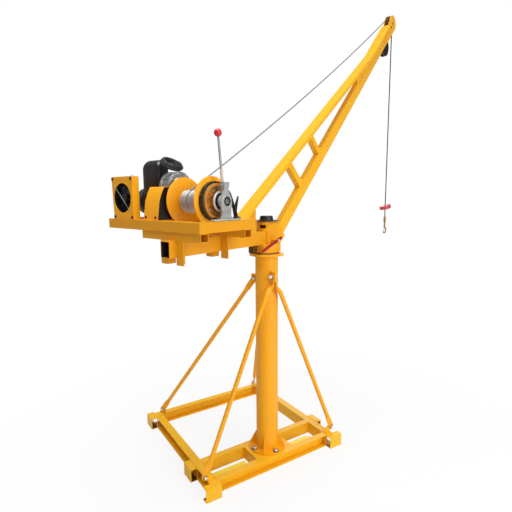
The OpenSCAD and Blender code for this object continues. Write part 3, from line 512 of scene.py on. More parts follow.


# The strut bolts' heads are whiter and less metallic than zinc: a painted highlight.
highlit_zinc = surface("pale_zinc_plate", (0.8, 0.8, 0.78), 0.35, metal=0.3, mottle=0.12, mottle_size=60,
                    grain=0.2)
strut_r, flat_w, flat_t = 0.0135, 0.019, 0.003
lug_x, front_lug_y, top_z, foot_z = -0.018, 0.098, 1.234, 0.108
strut_feet = np.array([(offset - half_w - 0.015, -front_lug_y, foot_z),
                       (offset + half_w + 0.015, -front_lug_y, foot_z),
                       (offset - side_web + 0.01, back_edge - 0.032, foot_z),
                       (offset + side_web - 0.01, back_edge - 0.032, foot_z)])
strut_heads = np.array([(lug_x - 0.008, -front_lug_y, top_z), (lug_x + 0.008, -front_lug_y, top_z),
                        (-0.037, 0.085, top_z - 0.036), (0.037, 0.085, top_z - 0.036)])
# Stations from the bolt hole on: distance and share of the flat's width round the eye, then
# distance, half width, half depth and power where the flat goes over into the tube.
eye = np.array([(-0.0189, 0.12), (-0.018, 0.32), (-0.015, 0.61), (-0.01, 0.85), (-0.004, 0.98)])
pressing = [(0.004, flat_w, flat_t, 7), (0.06, flat_w, flat_t, 7), (0.072, 0.0186, 0.0038, 5),
            (0.086, 0.0172, 0.0072, 3), (0.098, 0.0152, 0.0108, 2.3), (0.11, strut_r, strut_r, 2),
            (0.14, strut_r, strut_r, 2)]
for pair, indexes in (("front_struts", (0, 1)), ("back_struts", (2, 3))):
    parts = []
    for i in indexes:
        foot, head = strut_feet[i], strut_heads[i]
        line = head - foot
        long = np.linalg.norm(line)
        line /= long
        lying = np.array((line[0], line[1], 0)) / np.hypot(line[0], line[1])
        upright = np.array((0, 0, 1.0)) - line * line[2]
        upright /= np.linalg.norm(upright)
        stations = [(foot + line * s, upright, flat_w * w, flat_t, 7) for s, w in eye]
        stations += [(foot + line * s, upright, w, d, p) for s, w, d, p in pressing]
        if i > 1:
            stations += [(head - line * s, upright, w, d, p) for s, w, d, p in pressing[::-1]]
            stations += [(head - line * s, upright, flat_w * w, flat_t, 7) for s, w in eye[::-1]]
        else:
            sideways = np.array((0, 1.0, 0))
            stations += [(head - line * s, upright, w, d, p)
                         for s, w, d, p in ((0.15, strut_r, strut_r, 2), (0.112, strut_r, strut_r, 2))]
            low = head - (0, 0, 0.05)
            start = head - line * 0.112
            for s, d, p in ((0.25, 0.0118, 2.1), (0.5, 0.0085, 2.6), (0.75, 0.005, 4)):
                stations.append((start + (low - start) * s, upright * (1 - s) + sideways * s,
                                 strut_r + 0.0055 * s, d, p))
            stations += [(head - (0, 0, s), sideways, flat_w * w, flat_t, 7)
                         for s, w in ((0.048, 1), (0.03, 1), (0.004, 0.98), *eye[::-1])]
        made = pressed([s[0] for s in stations], [s[1] for s in stations],
                       *[[s[k] for s in stations] for k in (2, 3, 4)])
        parts += all_on_base([made])
        normal = np.array((-lying[1], lying[0], 0)) * (1 if i % 2 == 0 else -1)
        parts += all_on_base(bolt(foot - normal * 0.003, -normal, 0.012, 0.014), 1)
        if i > 1:
            parts += all_on_base(bolt(head - normal * 0.003, -normal, 0.012, 0.016), 1)
        elif i == 1:
            parts += all_on_base(bolt(head + (0.003, 0, 0), (1, 0, 0), 0.014, 0.022), 1)
    piece(pair + "_tubes", "base", parts, [orange, highlit_zinc, dark_zinc], stands_for=[pair])
paint(base_lit_orange, "strut_foot_lugs")
lug_beads = []
for i, foot in enumerate(strut_feet):
    turn = strut_heads[i] - foot
    d = np.array((turn[0], turn[1])) / np.hypot(turn[0], turn[1])
    n = np.array((-d[1], d[0])) * (1 if i % 2 == 0 else -1)
    a, b = (0.015, 0.057) if i < 2 else (-0.025, 0.025)
    for s in (0.003, 0.011):
        ends = [foot[:2] + d * e + n * s for e in (a, b)]
        lug_beads.append(weld((*ends[0], seat_top), (*ends[1], seat_top), radius=0.0025))
piece("strut_lug_welds", "base", all_on_base(lug_beads), [orange])


# ---- The slewing head ----
# A bored steel sleeve turns on the column's king pin over a black bearing ring. A housing with a
# window and a moulded cap tops it, with painted shade inside the window; a block painted a shaded
# brown hangs behind the column's flange, and a red bar on a stud locks the slewing.

black_steel = surface("black_oxide", (0.01, 0.009, 0.009), 0.42, metal=0.2, mottle=0.2, grain=0.2)
black_plastic = surface("black_plastic", (0.009, 0.008, 0.008), 0.42, mottle=0.1, grain=0.3)
red = surface("red_enamel", (0.6, 0.008, 0.016), 0.3, mottle=0.06, grain=0.1, coat=0.4)
paint(black_steel, "thrust_ring")
piece("dust_lip", "base",
      [turned([(0.0704, 0.0002), (0.078, 0.0002), (0.0792, 0.0012), (0.0786, 0.004), (0.077, 0.0054),
               (0.0704, 0.0056)], (0, 0, 1.367), (0, 0, 1), 72, closed=True)], [rubber])
# The block behind the flange is a dark brown: painted shade of its side turned from the light.
shaded_brown = surface("brown_primer", (0.12, 0.046, 0.009), 0.75, mottle=0.2, mottle_size=40, grain=0.3,
                 specular=0.12)
paint(shaded_brown, "slew_keeper")
paint(orange, "knuckle_plates")

# Inside the housing, seen through its window, the paint turns a dull brown: painted shade.
housing_painted_shade = (0.42, 0.21, 0.04, 1)
paint(painted_shade_inside(orange, "orange_enamel_housing", (None, None, 0.03), (0, 0, 1.538), 0.0605,
                       housing_painted_shade), "slew_sleeve")
hub_top = 1.563
piece("bearing_cap_moulding", "jib",
      [turned([(0.073, -0.0002), (0.075, 0.0015), (0.075, 0.0055), (0.0738, 0.007), (0.0445, 0.0072),
               (0.042, 0.0095), (0.0402, 0.022), (0.0378, 0.029), (0.034, 0.0328), (0.022, 0.0338),
               (0.006, 0.034)], (0, 0, hub_top), (0, 0, 1), 72)], [black_plastic], stands_for=["bearing_cap"])
lean = radians(20)
lock_x, lock_y, lock_z = 0.003, -0.086, 1.45


def lock_points(u, v, w):
    """The locking bar's own axes: u along the bar, v across it, w out of its face."""
    return np.stack((lock_x + u * cos(lean) - v * sin(lean), np.broadcast_to(lock_y + w, u.shape),
                     lock_z + u * sin(lean) + v * cos(lean)), -1)


def inset(outline, by):
    """An outline (m, 2) moved inwards by a distance at each corner along the mean of its sides."""
    p = np.asarray(outline, float)
    back, on = p - np.roll(p, 1, 0), np.roll(p, -1, 0) - p
    if (np.roll(p, -1, 0)[:, 1] * p[:, 0] - np.roll(p, -1, 0)[:, 0] * p[:, 1]).sum() < 0:
        by = -by
    n1 = np.stack((-back[:, 1], back[:, 0]), -1) / np.linalg.norm(back, axis=1)[:, None]
    n2 = np.stack((-on[:, 1], on[:, 0]), -1) / np.linalg.norm(on, axis=1)[:, None]
    mean = n1 + n2
    return p + by * mean / np.maximum((mean * n1).sum(1), 0.45)[:, None]


def soften(outline, cuts=2):
    """Rounds an outline by cutting each corner at a quarter of its sides, as often as cuts says."""
    p = np.asarray(outline, float)
    for _ in range(cuts):
        q = np.roll(p, -1, 0)
        p = np.stack((p * 0.75 + q * 0.25, p * 0.25 + q * 0.75), 1).reshape(-1, 2)
    return p


def slab(outline, low, high, place, edge=0.001):
    """A plate of the given outline between two heights, its edges cut at 45 degrees; place turns
    (u, v, height) into the row frame."""
    p = np.asarray(outline, float)
    small = inset(p, edge)
    rings = [place(q[:, 0], q[:, 1], np.full(len(q), h))
             for q, h in ((small, low), (p, low + edge), (p, high - edge), (small, high))]
    return skin(rings)


lock_red = surface("dark_red_enamel", (0.33, 0.004, 0.004), 0.5, mottle=0.12, mottle_size=30, grain=0.1)
bar = [(-0.162, -0.006), (-0.156, -0.009), (0.04, -0.009), (0.046, -0.004), (0.046, 0.004), (0.04, 0.009),
       (-0.156, 0.009), (-0.162, 0.006)]
pivot = [turned([(0.0105, 0.0), (0.0105, 0.0022), (0.0088, 0.0027)], (lock_x, lock_y, lock_z), (0, -1, 0), 24)
         + (1,),
         turned([(0.0072, 0.0022), (0.008, 0.0036), (0.008, 0.0082), (0.0066, 0.0096)],
                (lock_x, lock_y, lock_z), (0, -1, 0), 6)]
piece("lock_lever_bar", "lock_lever", [slab(bar, 0, 0.006, lock_points, 0.0012)], [lock_red],
      stands_for=["lock_lever"])
# The lever's pinkish pale bolt head is a painted highlight.
pale = surface("pale_bolt", (0.7, 0.56, 0.54), 0.35, metal=0.3, mottle=0.1)
piece("lock_lever_bolt", "jib", pivot, [pale, dark_zinc])
jib_turn = radians(45.2)


def jib(u, v, y=0.0):
    """Points of the jib's plane, u along the underside of its lower chord and v square to it."""
    u, v = np.broadcast_arrays(np.asarray(u, float), np.asarray(v, float))
    return np.stack((u * cos(jib_turn) - v * sin(jib_turn), np.full(u.shape, float(y)),
                     1.331 + u * sin(jib_turn) + v * cos(jib_turn)), -1)


head_beads = []
for y in (-0.0405, 0.0405):
    head_beads.append(weld((-0.0405, y * 1.22, 1.51), (-0.0405, y * 1.22, 1.56), radius=0.002))
    head_beads.append(weld(jib(0.196, 0.006, y * 0.8), jib(0.196, 0.072, y * 0.8)))
    head_beads.append(weld((-0.038, y, 1.427), (0.07, y, 1.427)))
piece("head_welds", "jib", head_beads, [orange])


# ---- The main beam and the winch platform ----
# A square tube runs back from the hub. Two rectangular cross tubes lie on it, and on them stands
# the platform's frame of angle steel. Short angles hang beside the beam. All is welded and sprayed.

# A darker copy of the orange enamel for the beam, the cross tubes, the angles and the platform's frame:
# painted shade.
shaded_orange = surface("orange_enamel_deep", (0.8, 0.335, 0.006), 0.42, edge_tint=(1.0, 0.48, 0.03), **enamel)
# Inside the main beam the paint turns dark brown: unpainted steel, and painted shade in the tube.
paint(painted_shade_inside(shaded_orange, "orange_enamel_tube", (None, 0.0295, 0.0375), (0, 0, 1.467)), "main_beam")
paint(shaded_orange, "rear_gussets", "cross_tubes", "hanger_angles", "platform_long_rails",
      "platform_end_rails", "winch_bearers")
beam_top, frame_z, plat_z = 1.507, 1.548, 1.598
beam_side, seam_low = 0.0325, 1.43
beads = []
for x in (-0.736, -0.433):
    for e in (0, 0.05):
        beads.append(weld((x + e, -0.032, beam_top), (x + e, 0.032, beam_top)))
    for y in (-1, 1):
        beads.append(weld((x - 0.0005, y * beam_side, seam_low),
                          (x - 0.0005, y * beam_side, beam_top - 0.003)))
        beads.append(weld((x + 0.0505, y * beam_side, seam_low),
                          (x + 0.0505, y * beam_side, beam_top - 0.003)))
for x in (-0.742, -0.34):
    at = x + (0.005 if x < -0.5 else -0.005)
    beads.append(weld((at, -0.2035, frame_z + 0.002), (at, -0.2035, plat_z - 0.006), radius=0.0018))
for x in (-0.692, -0.39):
    for y in (-0.201, 0.524):
        beads.append(weld((x, y, plat_z), (x, y - (0.045 if y > 0 else -0.045), plat_z), radius=0.0016))
piece("platform_welds", "jib", beads, [shaded_orange])


# ---- The jib ----
# Two rectangular tubes meet towards the head, tied by two curved braces and a pointed web, and end
# in two cheek plates for the head sheave. A black half disc with a pale edging hangs under the chord.

# The jib takes the lighter copy of the orange enamel: painted light.
paint(jib_lit_orange, "upper_chord", "lower_chord", "jib_braces", "head_cheeks")
head_u = 2.549
head = jib(head_u, 0.068)
rope_seat_r = 0.054
hang_x = head[0] + rope_seat_r
beads = []
for x, w, r in ((0.334, 0.042, 0.046), (0.56, 0.036, 0.04)):
    low_u = x / cos(jib_turn) + 0.074 * tan(jib_turn)
    for y in (-0.02, 0.02):
        beads.append(weld(jib(low_u, 0.0755, y), jib(low_u + w + r, 0.0755, y), radius=0.0022))
    beads.append(weld(jib(low_u - 0.001, 0.075, -0.018), jib(low_u - 0.001, 0.075, 0.018)))
for y in (-0.02, 0.02):
    beads.append(weld(jib(1.7, 0.0745, y), jib(2.44, 0.0745, y), radius=0.002))
    beads.append(weld(jib(2.365, 0.004, y), jib(2.365, 0.07, y), radius=0.002))
for y in (-0.033, 0.033):
    beads.append(weld((-0.275, y, beam_top + 0.002), (-0.14, y, beam_top + 0.002)))
piece("jib_welds", "jib", beads, [jib_lit_orange])


def place_xz(u, v, w):
    """A plate in the X-Z plane with its thickness along Y."""
    return np.stack((u, w, v), -1)


hoop_black = surface("hoop_rubber", (0.012, 0.004, 0.004), 0.6, mottle=0.2, grain=0.3, specular=0.3)
paint(hoop_black, "limit_hoop")
pale_rubber = surface("pale_edging", (0.5, 0.36, 0.34), 0.6, mottle=0.15, grain=0.3)
turn = np.linspace(-0.02, 0.02 - pi, 48)
edging = np.array([(r * cos(a), r * sin(a)) for r, order in ((0.0797, 1), (0.0772, -1))
                   for a in turn[::order]])
strips = [slab(edging, s * 0.0152 - 0.0009, s * 0.0152 + 0.0009,
               lambda u, v, w: jib(2.32 + u, v) + np.stack((0 * w, w, 0 * w), -1), 0.0005) for s in (-1, 1)]
piece("limit_hoop_edging", "jib", strips, [pale_rubber])

groove = [(0.0122, -0.015), (0.0122, 0.015), (0.026, 0.015), (0.027, 0.01), (0.06, 0.0098), (0.0635, 0.0092),
          (0.064, 0.0082)]
bowl = [(0.0496 + 0.0138 * (1 - sin(a)), 0.0072 * cos(a)) for a in np.linspace(0.15, pi - 0.15, 9)]
wheel = groove + bowl + [(r, -y) for r, y in groove[::-1][:-2]] + [(0.026, -0.015)]
# The sheave is dark brown iron, darkened for the shade in the gap between the cheeks and on its rim round
# them: partly its own colour, partly painted shade.
sheave_iron = surface("sheave_iron", (0.17, 0.085, 0.03), 0.45, metal=0.4, mottle=0.25, mottle_size=60,
                      grain=0.3)
piece("head_sheave_wheel", "head_sheave", [turned(wheel, head, (0, 1, 0), 72, closed=True)], [sheave_iron],
      stands_for=["head_sheave"])
axle = []
for s in (-1, 1):
    axle.append(turned([(0.0112, 0.0278), (0.0112, 0.0292), (0.0098, 0.0302), (0.002, 0.03)], head, (0, s, 0),
                       40))
    axle += bolt(jib(head_u - 0.045, 0.062) + (0, s * 0.026, 0), (0, s, 0), 0.009)
piece("head_axle_bolts", "jib", axle, [dark_zinc, black_steel])


# ---- The drum and the brake wheel ----
# A turned drum with two disc flanges and, beside it, the brake wheel: a ring with a dished web, ribs
# and bolts, and in front of it a bright ring on the shaft. Everything is keyed to one steel shaft.

drum = axes["drum_spin"]
shaft_x, shaft_z = drum[0], drum[2]
iron = surface("worn_iron", (0.3, 0.19, 0.055), 0.5, metal=0.3, mottle=0.25, mottle_size=30, grain=0.3)
bright = surface("machined_steel", (0.8, 0.8, 0.82), 0.34, metal=0.55, mottle=0.1, mottle_size=50)
brass = surface("yellow_zinc", (0.66, 0.43, 0.13), 0.3, metal=0.85, mottle=0.12, mottle_size=60)
centre = (shaft_x, 0, shaft_z)


def spoke(middle, a):
    """Places a rib on a shaft along Y at angle a: u outwards, v along the shaft, w across."""
    c, s = cos(a), sin(a)
    return lambda u, v, w: np.stack((middle[0] + u * c - w * s, v, middle[2] + u * s + w * c), -1)


def on_shaft(profile, look, n, closed=True, middle=centre):
    """A part turned about a line along Y through middle, with the index of its material."""
    return turned(profile, middle, (0, 1, 0), n, closed) + (look,)


parts = []
for y in (-0.088, 0.114):
    parts.append(on_shaft([(0.021, y), (0.121, y), (0.1235, y + 0.0015), (0.124, y + 0.004),
                           (0.1235, y + 0.0065), (0.121, y + 0.008), (0.021, y + 0.008)], 0, 96))
parts.append(on_shaft([(0.021, -0.08), (0.048, -0.08), (0.048, 0.114), (0.021, 0.114)], 0, 64))
parts.append(on_shaft([(0.06, -0.0885), (0.087, -0.0885), (0.089, -0.09), (0.089, -0.1215), (0.0885, -0.123),
                       (0.084, -0.123), (0.084, -0.112), (0.06, -0.112)], 1, 96))
parts.append(on_shaft([(0.0885, -0.1225), (0.0885, -0.1238), (0.0865, -0.1245), (0.077, -0.1245),
                       (0.075, -0.1232), (0.0745, -0.116), (0.07, -0.111), (0.05, -0.11), (0.032, -0.112),
                       (0.031, -0.128), (0.021, -0.128), (0.021, -0.105), (0.08, -0.105), (0.084, -0.1225)],
                      4, 96))
for k in range(6):
    a = k * pi / 3 + 0.35
    parts.append(slab([(0.03, -0.106), (0.076, -0.106), (0.076, -0.1165), (0.05, -0.115), (0.03, -0.1225)],
                      -0.003, 0.003, spoke(centre, a), 0.0008) + (4,))
    b = a + pi / 6
    at = (shaft_x + 0.056 * cos(b), -0.11, shaft_z + 0.056 * sin(b))
    if k % 2:
        parts += [(p, f, 2 + m) for p, f, m in bolt(at, (0, -1, 0), 0.011)]
    else:
        parts.append(turned([(0.0085, 0.0), (0.0095, 0.0012), (0.0095, 0.003), (0.008, 0.0032),
                             (0.0075, 0.001)], at, (0, -1, 0), 20) + (1,))
# The dish and its ribs take a darker, redder orange than the paint.
dish = surface("thin_enamel_over_iron", (0.62, 0.215, 0.01), 0.42, mottle=0.3, mottle_size=35, grain=0.3)
piece("drum_and_brake_wheel", "drum", parts, [orange, iron, brass, zinc, dish], stands_for=["drum"])
piece("clutch_ring", "drum",
      [on_shaft([(0.04, -0.1372), (0.0488, -0.1372), (0.05, -0.1382), (0.05, -0.144), (0.0488, -0.1449),
                 (0.0412, -0.1449), (0.04, -0.1438)], 0, 72),
       on_shaft([(0.021, -0.128), (0.034, -0.128), (0.038, -0.139), (0.0405, -0.1395), (0.0405, -0.142),
                 (0.034, -0.1435), (0.021, -0.1435)], 1, 48),
       on_shaft([(0.0197, -0.127), (0.0197, -0.1805), (0.0185, -0.182), (0.006, -0.182), (0.004, -0.179),
                 (0.001, -0.178)], 2, 40, closed=False)], [bright, black_steel, iron])

# The hoist rope's outer layer: turns side by side with a gap where the rope leaves the drum.
drum_rope = surface("wire_rope_layer", (0.46, 0.46, 0.45), 0.4, metal=0.55, mottle=0.25, mottle_size=120,
                    grain=0.5, grain_size=900)
bright_rope = surface("wire_rope_bright", (0.26, 0.26, 0.265), 0.45, metal=0.5, mottle=0.2, mottle_size=120,
                      grain=0.5, grain_size=900)
rope_r, lay_r, pitch = 0.004, 0.06, 0.0083
line = [(0.0485, -0.0795), (0.0555, -0.0795)]
for k in range(21):
    y = -0.079 + (k + 0.5) * pitch
    deep = 0.0 if k != 14 else 0.006
    line += [(lay_r - rope_r + rope_r * sin(a) - deep, y - rope_r * cos(a))
             for a in np.linspace(0.15, pi - 0.15, 6)]
line += [(0.0555, 0.0957), (0.0485, 0.0957)]
piece("wound_rope_turns", "drum", [on_shaft(line, 0, 96)], [drum_rope], crease=60, stands_for=["wound_rope"])


# ---- The outer bearing with the brake lever ----
# A silver-sprayed grey iron casting on two dark bolts. Its web has a waist and a square head, and a
# round boss holds the shaft. The plated lever with its red ball rocks between two ears behind it.

# The casting's edges are tinted lighter: a painted highlight along them.
cast = surface("silver_casting", (0.44, 0.455, 0.43), 0.46, metal=0.4, mottle=0.18, mottle_size=40, grain=0.7,
               grain_size=220, edge_tint=(0.66, 0.67, 0.65))
shaft_end = surface("turned_shaft_end", (0.22, 0.22, 0.21), 0.4, metal=0.5, mottle=0.2, mottle_size=80)
web = [(-0.038, 0.004), (-0.036, 0.012), (-0.031, 0.03), (-0.029, 0.043), (-0.034, 0.062), (-0.036, 0.076),
       (-0.037, 0.093), (-0.034, 0.11), (-0.024, 0.127), (-0.016, 0.143), (-0.0148, 0.154), (-0.018, 0.163),
       (-0.02, 0.171), (-0.02, 0.1855)]
web = np.array(web + [(-u, v) for u, v in web[::-1]])
web_y, boss_y, pin_y, pin_z = -0.184, -0.15, -0.157, 1.762
parts = [slab(web + (shaft_x, plat_z), web_y, web_y + 0.014, place_xz, 0.002)]
plate = [(0.0915 - 0.018 * (1 - cos(a)), 0.025 - 0.018 * (1 - sin(a))) for a in np.linspace(0, pi / 2, 6)]
plate = np.array(plate + [(-u, v) for u, v in plate[::-1]] + [(-u, -v) for u, v in plate]
                 + [(u, -v) for u, v in plate[::-1]])
parts.append(slab(plate + (shaft_x, -0.175), plat_z, plat_z + 0.009, lambda u, v, w: np.stack((u, v, w), -1),
                  0.0025))
parts.append(on_shaft([(0.0235, web_y - 0.003), (0.03, web_y - 0.0032), (0.0325, web_y - 0.001),
                       (0.037, web_y + 0.003), (0.037, -0.166), (0.0335, -0.16), (0.032, -0.1515),
                       (0.03, boss_y), (0.0206, boss_y), (0.0206, -0.176), (0.0235, -0.177)], 0, 56))
parts.append(on_shaft([(0.0135, -0.178), (0.0135, -0.1858), (0.015, -0.1864), (0.0215, -0.1864),
                       (0.0234, -0.1856), (0.0234, -0.178)], 1, 48))
parts.append(on_shaft([(0.0134, -0.18), (0.0134, -0.185), (0.0122, -0.1858), (0.004, -0.1858),
                       (0.0025, -0.1845), (0.0005, -0.1843)], 2, 40, closed=False))
for z in (0.038, 0.0475):
    parts.append(slab([(-0.03, z - 0.0022), (0.03, z - 0.0022), (0.03, z + 0.0022), (-0.03, z + 0.0022)]
                      + np.array((shaft_x, plat_z)), web_y - 0.0022, web_y + 0.004, place_xz, 0.0012))
for s in (-1, 1):
    ear = soften([(-0.012, -0.012), (0.012, -0.012), (0.012, 0.012), (-0.012, 0.012)], 2)
    parts.append(slab(ear * (0.92, 1) + (-0.159, pin_z), s * 0.012 - 0.004, s * 0.012 + 0.004,
                      lambda u, v, w: np.stack((shaft_x + w, u, v), -1), 0.001))
    parts.append(turned([(0.0075, 0.0), (0.0075, 0.003), (0.0055, 0.0042)],
                        (shaft_x + s * 0.016, pin_y, pin_z), (s, 0, 0), 20) + (2,))
parts.append(turned([(0.0049, -0.016), (0.0049, 0.016)], (shaft_x, pin_y, pin_z), (1, 0, 0), 20) + (2,))
for x in (-0.613, -0.468):
    parts += plain_bolt(1, (x, -0.172, plat_z + 0.0088), (0, 0, 1), 0.013)
piece("outer_bearing", "jib", parts, [cast, black_steel, shaft_end], stands_for=["pedestal"])

rod_steel = surface("lever_steel", (0.34, 0.33, 0.33), 0.4, metal=0.5, mottle=0.15, mottle_size=60)
sleeve_tan = surface("lever_sleeve", (0.62, 0.5, 0.42), 0.5, mottle=0.12, mottle_size=60)
lever_at = axes["brake_lever_swing"]
lever_lean = radians(5.7)
lever_d = axes_about((0, sin(lever_lean), cos(lever_lean)))[0]


def lever_points(u, v, w):
    """The lever's own axes: u across it, v along it, w along X."""
    across = np.array((0, lever_d[2], -lever_d[1]))
    return lever_at + np.outer(u, across) + np.outer(v, lever_d) + np.outer(w, (1.0, 0, 0))


parts = [slab([(-0.0068, -0.0085), (0.0068, -0.0085), (0.007, 0.01), (0.0055, 0.024), (-0.0055, 0.024),
               (-0.007, 0.01)], -0.006, 0.006, lever_points, 0.001),
         turned([(0.006, 0.022), (0.006, 0.17), (0.0056, 0.215), (0.0052, 0.239), (0.004, 0.242)], lever_at,
                lever_d, 20) + (1,)]
parts.append(turned([(0.0062, 0.0235), (0.0074, 0.0245), (0.0074, 0.083), (0.0062, 0.084)], lever_at, lever_d,
                    24) + (3,))
ball = [(0.019 * sin(a) + 0.0004, 0.256 - 0.019 * cos(a)) for a in np.linspace(0.22, pi - 0.02, 26)]
parts.append(turned([(0.0062, 0.234)] + ball, lever_at, lever_d, 40) + (2,))
piece("brake_lever_rod", "brake_lever", parts, [cast, rod_steel, red, sleeve_tan], crease=40,
      stands_for=["brake_lever"])

# The brake band: a black steel strip with a friction lining round the wheel, riveted on. Its ends
# run on as a bent strap above and a level one below, to the anchor and its upright blade.
lining = surface("brake_lining", (0.03, 0.02, 0.012), 0.8, mottle=0.25, mottle_size=80, grain=0.6)
turn = np.radians(np.linspace(52, 293, 90))
arc = np.stack((np.cos(turn), np.sin(turn)), -1)
parts = []
for r0, r1, y0, y1, look in ((0.0955, 0.098, -0.112, -0.092, 0), (0.091, 0.0954, -0.11, -0.094, 1)):
    ring = [np.stack((shaft_x + arc[:, 0] * r, np.full(len(arc), y), shaft_z + arc[:, 1] * r), -1)
            for r, y in ((r0, y0), (r1, y0), (r1, y1), (r0, y1))]
    parts.append(skin(np.stack(ring, 1)) + (look,))
low = plat_z - shaft_z
strap = [(0.059, 0.0748), (0.0605, 0.077), (0.075, 0.067), (0.092, 0.055), (0.105, 0.042), (0.119, 0.015),
         (0.13, -0.011), (0.141, -0.045), (0.151, low + 0.006), (0.146, low + 0.006), (0.1365, -0.046),
         (0.1255, -0.013), (0.1145, 0.012), (0.101, 0.038), (0.089, 0.0505), (0.072, 0.064)]
foot = [(0.034, low + 0.003), (0.034, low + 0.007), (0.141, low + 0.007), (0.143, low + 0.013),
        (0.154, low + 0.013), (0.16, low + 0.008), (0.18, low + 0.007), (0.18, low + 0.0002),
        (0.15, low + 0.0002), (0.147, low + 0.003)]
blade = [(0.1665, low + 0.006), (0.158, -0.05), (0.1655, -0.014), (0.1725, 0.02), (0.1705, 0.0265),
         (0.1668, 0.024), (0.148, -0.012), (0.137, -0.052), (0.152, low + 0.006)]
for outline, y0, y1, edge in ((strap, -0.112, -0.092, 0.0008), (foot, -0.112, -0.092, 0.0008),
                              (blade, -0.1058, -0.0982, 0.0015)):
    parts.append(slab(np.array(outline) + (shaft_x, shaft_z), y0, y1, place_xz, edge))
for a in np.radians((70, 100, 130, 160, 190, 220, 250, 280)):
    for y in (-0.107, -0.097):
        at = (shaft_x + 0.098 * cos(a), y, shaft_z + 0.098 * sin(a))
        parts.append(turned([(0.0022, -0.0006), (0.002, 0.0006), (0.001, 0.0011)], at, (cos(a), 0, sin(a)),
                            10) + (2,))
parts += plain_bolt(2, (shaft_x + 0.168, -0.108, plat_z + 0.0068), (0, 0, 1), 0.008)
piece("brake_band_strip", "jib", parts, [black_steel, lining, iron], stands_for=["brake_band"])


# ---- The gear case, its guard and the motor ----
# Silver castings stand behind the drum: a round one on the shaft, a smaller one above. A bent and
# painted sheet guards their rear. The finned motor lies behind them under a moulded black hood.

gear_y, gear_l, motor_y, motor_l = 0.13, 0.1, 0.23, 0.23
upper = (shaft_x, 0, 1.765)
parts = [on_shaft([(0.021, gear_y), (0.084, gear_y), (0.088, gear_y + 0.003), (0.088, gear_y + 0.01),
                   (0.082, gear_y + 0.014), (0.082, 0.214), (0.088, 0.218), (0.088, 0.228), (0.085, 0.23),
                   (0.021, 0.23)], 0, 72),
         on_shaft([(0.07, 0.15), (0.079, 0.1515), (0.081, 0.155), (0.081, 0.163), (0.076, 0.167),
                   (0.074, 0.21), (0.08, 0.214), (0.081, 0.226), (0.078, 0.23), (0.03, 0.2305)], 0, 72,
                  closed=False, middle=upper),
         on_shaft([(0.04, 0.144), (0.052, 0.1445), (0.055, 0.1475), (0.056, 0.151)], 0, 48, closed=False,
                  middle=upper),
         on_shaft([(0.0125, 0.14), (0.0165, 0.141), (0.0175, 0.1445)], 1, 24, closed=False, middle=upper)]
for k in range(8):
    a = k * pi / 4 + 0.2
    parts += plain_bolt(2, (upper[0] + 0.068 * cos(a), 0.1508, upper[2] + 0.068 * sin(a)), (0, -1, 0), 0.007)
    parts.append(slab([(0.072, 0.16), (0.0795, 0.162), (0.0795, 0.216), (0.072, 0.22)], -0.0025, 0.0025,
                      spoke(upper, a), 0.0008))
box = np.array([(-0.61, plat_z), (-0.61, plat_z + 0.012), (-0.6, plat_z + 0.04), (-0.43, plat_z + 0.04),
                (-0.42, plat_z + 0.012), (-0.42, plat_z)])
parts.append(slab(box, gear_y + 0.002, gear_y + gear_l - 0.002, place_xz, 0.003))
gear_metal = surface("gear_casting", (0.3, 0.305, 0.31), 0.4, metal=0.5, mottle=0.4, mottle_size=28,
                     grain=0.6, grain_size=220)
piece("gear_case", "jib", parts, [gear_metal, black_steel, zinc], stands_for=["gearbox"])

guard_front = -0.6258
guard_rise = np.array([(-0.7145, 0.0), (-0.7125, 0.015), (-0.6995, 0.098), (-0.685, 0.134), (-0.68, 0.144),
                       (-0.67, 0.162), (-0.664, 0.1675), (guard_front, 0.1675)]) + (0, plat_z)
sheet = 0.003
inner = inset(np.concatenate((guard_rise, [(guard_front, plat_z)])), sheet)[:-1]
inner[0], inner[-1] = (inner[0][0], plat_z), (guard_front, inner[-1][1])
parts = [slab(np.concatenate((guard_rise, inner[::-1])), gear_y, gear_y + 0.115, place_xz, 0.0006)]
# A black block set back inside the bent sheet stands for the shade under it: painted shade.
shaded_hollow = np.concatenate((inner, [(guard_front, plat_z)]))
parts.append(slab(inset(shaded_hollow, 0.0004), gear_y + 0.01, gear_y + 0.113, place_xz, 0.001) + (2,))
for y in (gear_y + 0.018, gear_y + 0.097):
    parts += plain_bolt(1, (-0.713, y, 1.612), (-1, 0, 0.16), 0.006)
piece("gear_guard", "jib", parts, [orange, black_steel, black_steel], stands_for=["gearbox_cover"])

motor_paint = surface("motor_enamel", (0.03, 0.03, 0.034), 0.38, mottle=0.15, mottle_size=30, grain=0.3,
                      coat=0.2)
fins = []
for k in range(40):
    a = 2 * pi * k / 40
    for r, da in ((0.064, -0.055), (0.0745, -0.022), (0.0745, 0.022), (0.064, 0.055)):
        fins.append((shaft_x + r * cos(a + da), shaft_z + r * sin(a + da)))
parts = [slab(fins, motor_y + 0.03, motor_y + motor_l - 0.05, place_xz, 0.0012),
         on_shaft([(0.03, motor_y), (0.07, motor_y + 0.001), (0.0745, motor_y + 0.004),
                   (0.0745, motor_y + 0.028), (0.066, motor_y + 0.032)], 0, 64, closed=False),
         on_shaft([(0.066, motor_y + motor_l - 0.054), (0.074, motor_y + motor_l - 0.05),
                   (0.0748, motor_y + motor_l - 0.044), (0.0735, motor_y + motor_l - 0.01),
                   (0.066, motor_y + motor_l - 0.001), (0.03, motor_y + motor_l)], 0, 64, closed=False)]
for x in (-0.585, -0.495):
    parts.append(slab([(x - 0.014, plat_z), (x + 0.014, plat_z), (x + 0.01, plat_z + 0.012),
                       (x + 0.01, plat_z + 0.045), (x - 0.01, plat_z + 0.045), (x - 0.01, plat_z + 0.012)],
                      motor_y + 0.076, motor_y + 0.154, place_xz, 0.0015))
piece("winch_motor", "jib", parts, [motor_paint], stands_for=["motor"])

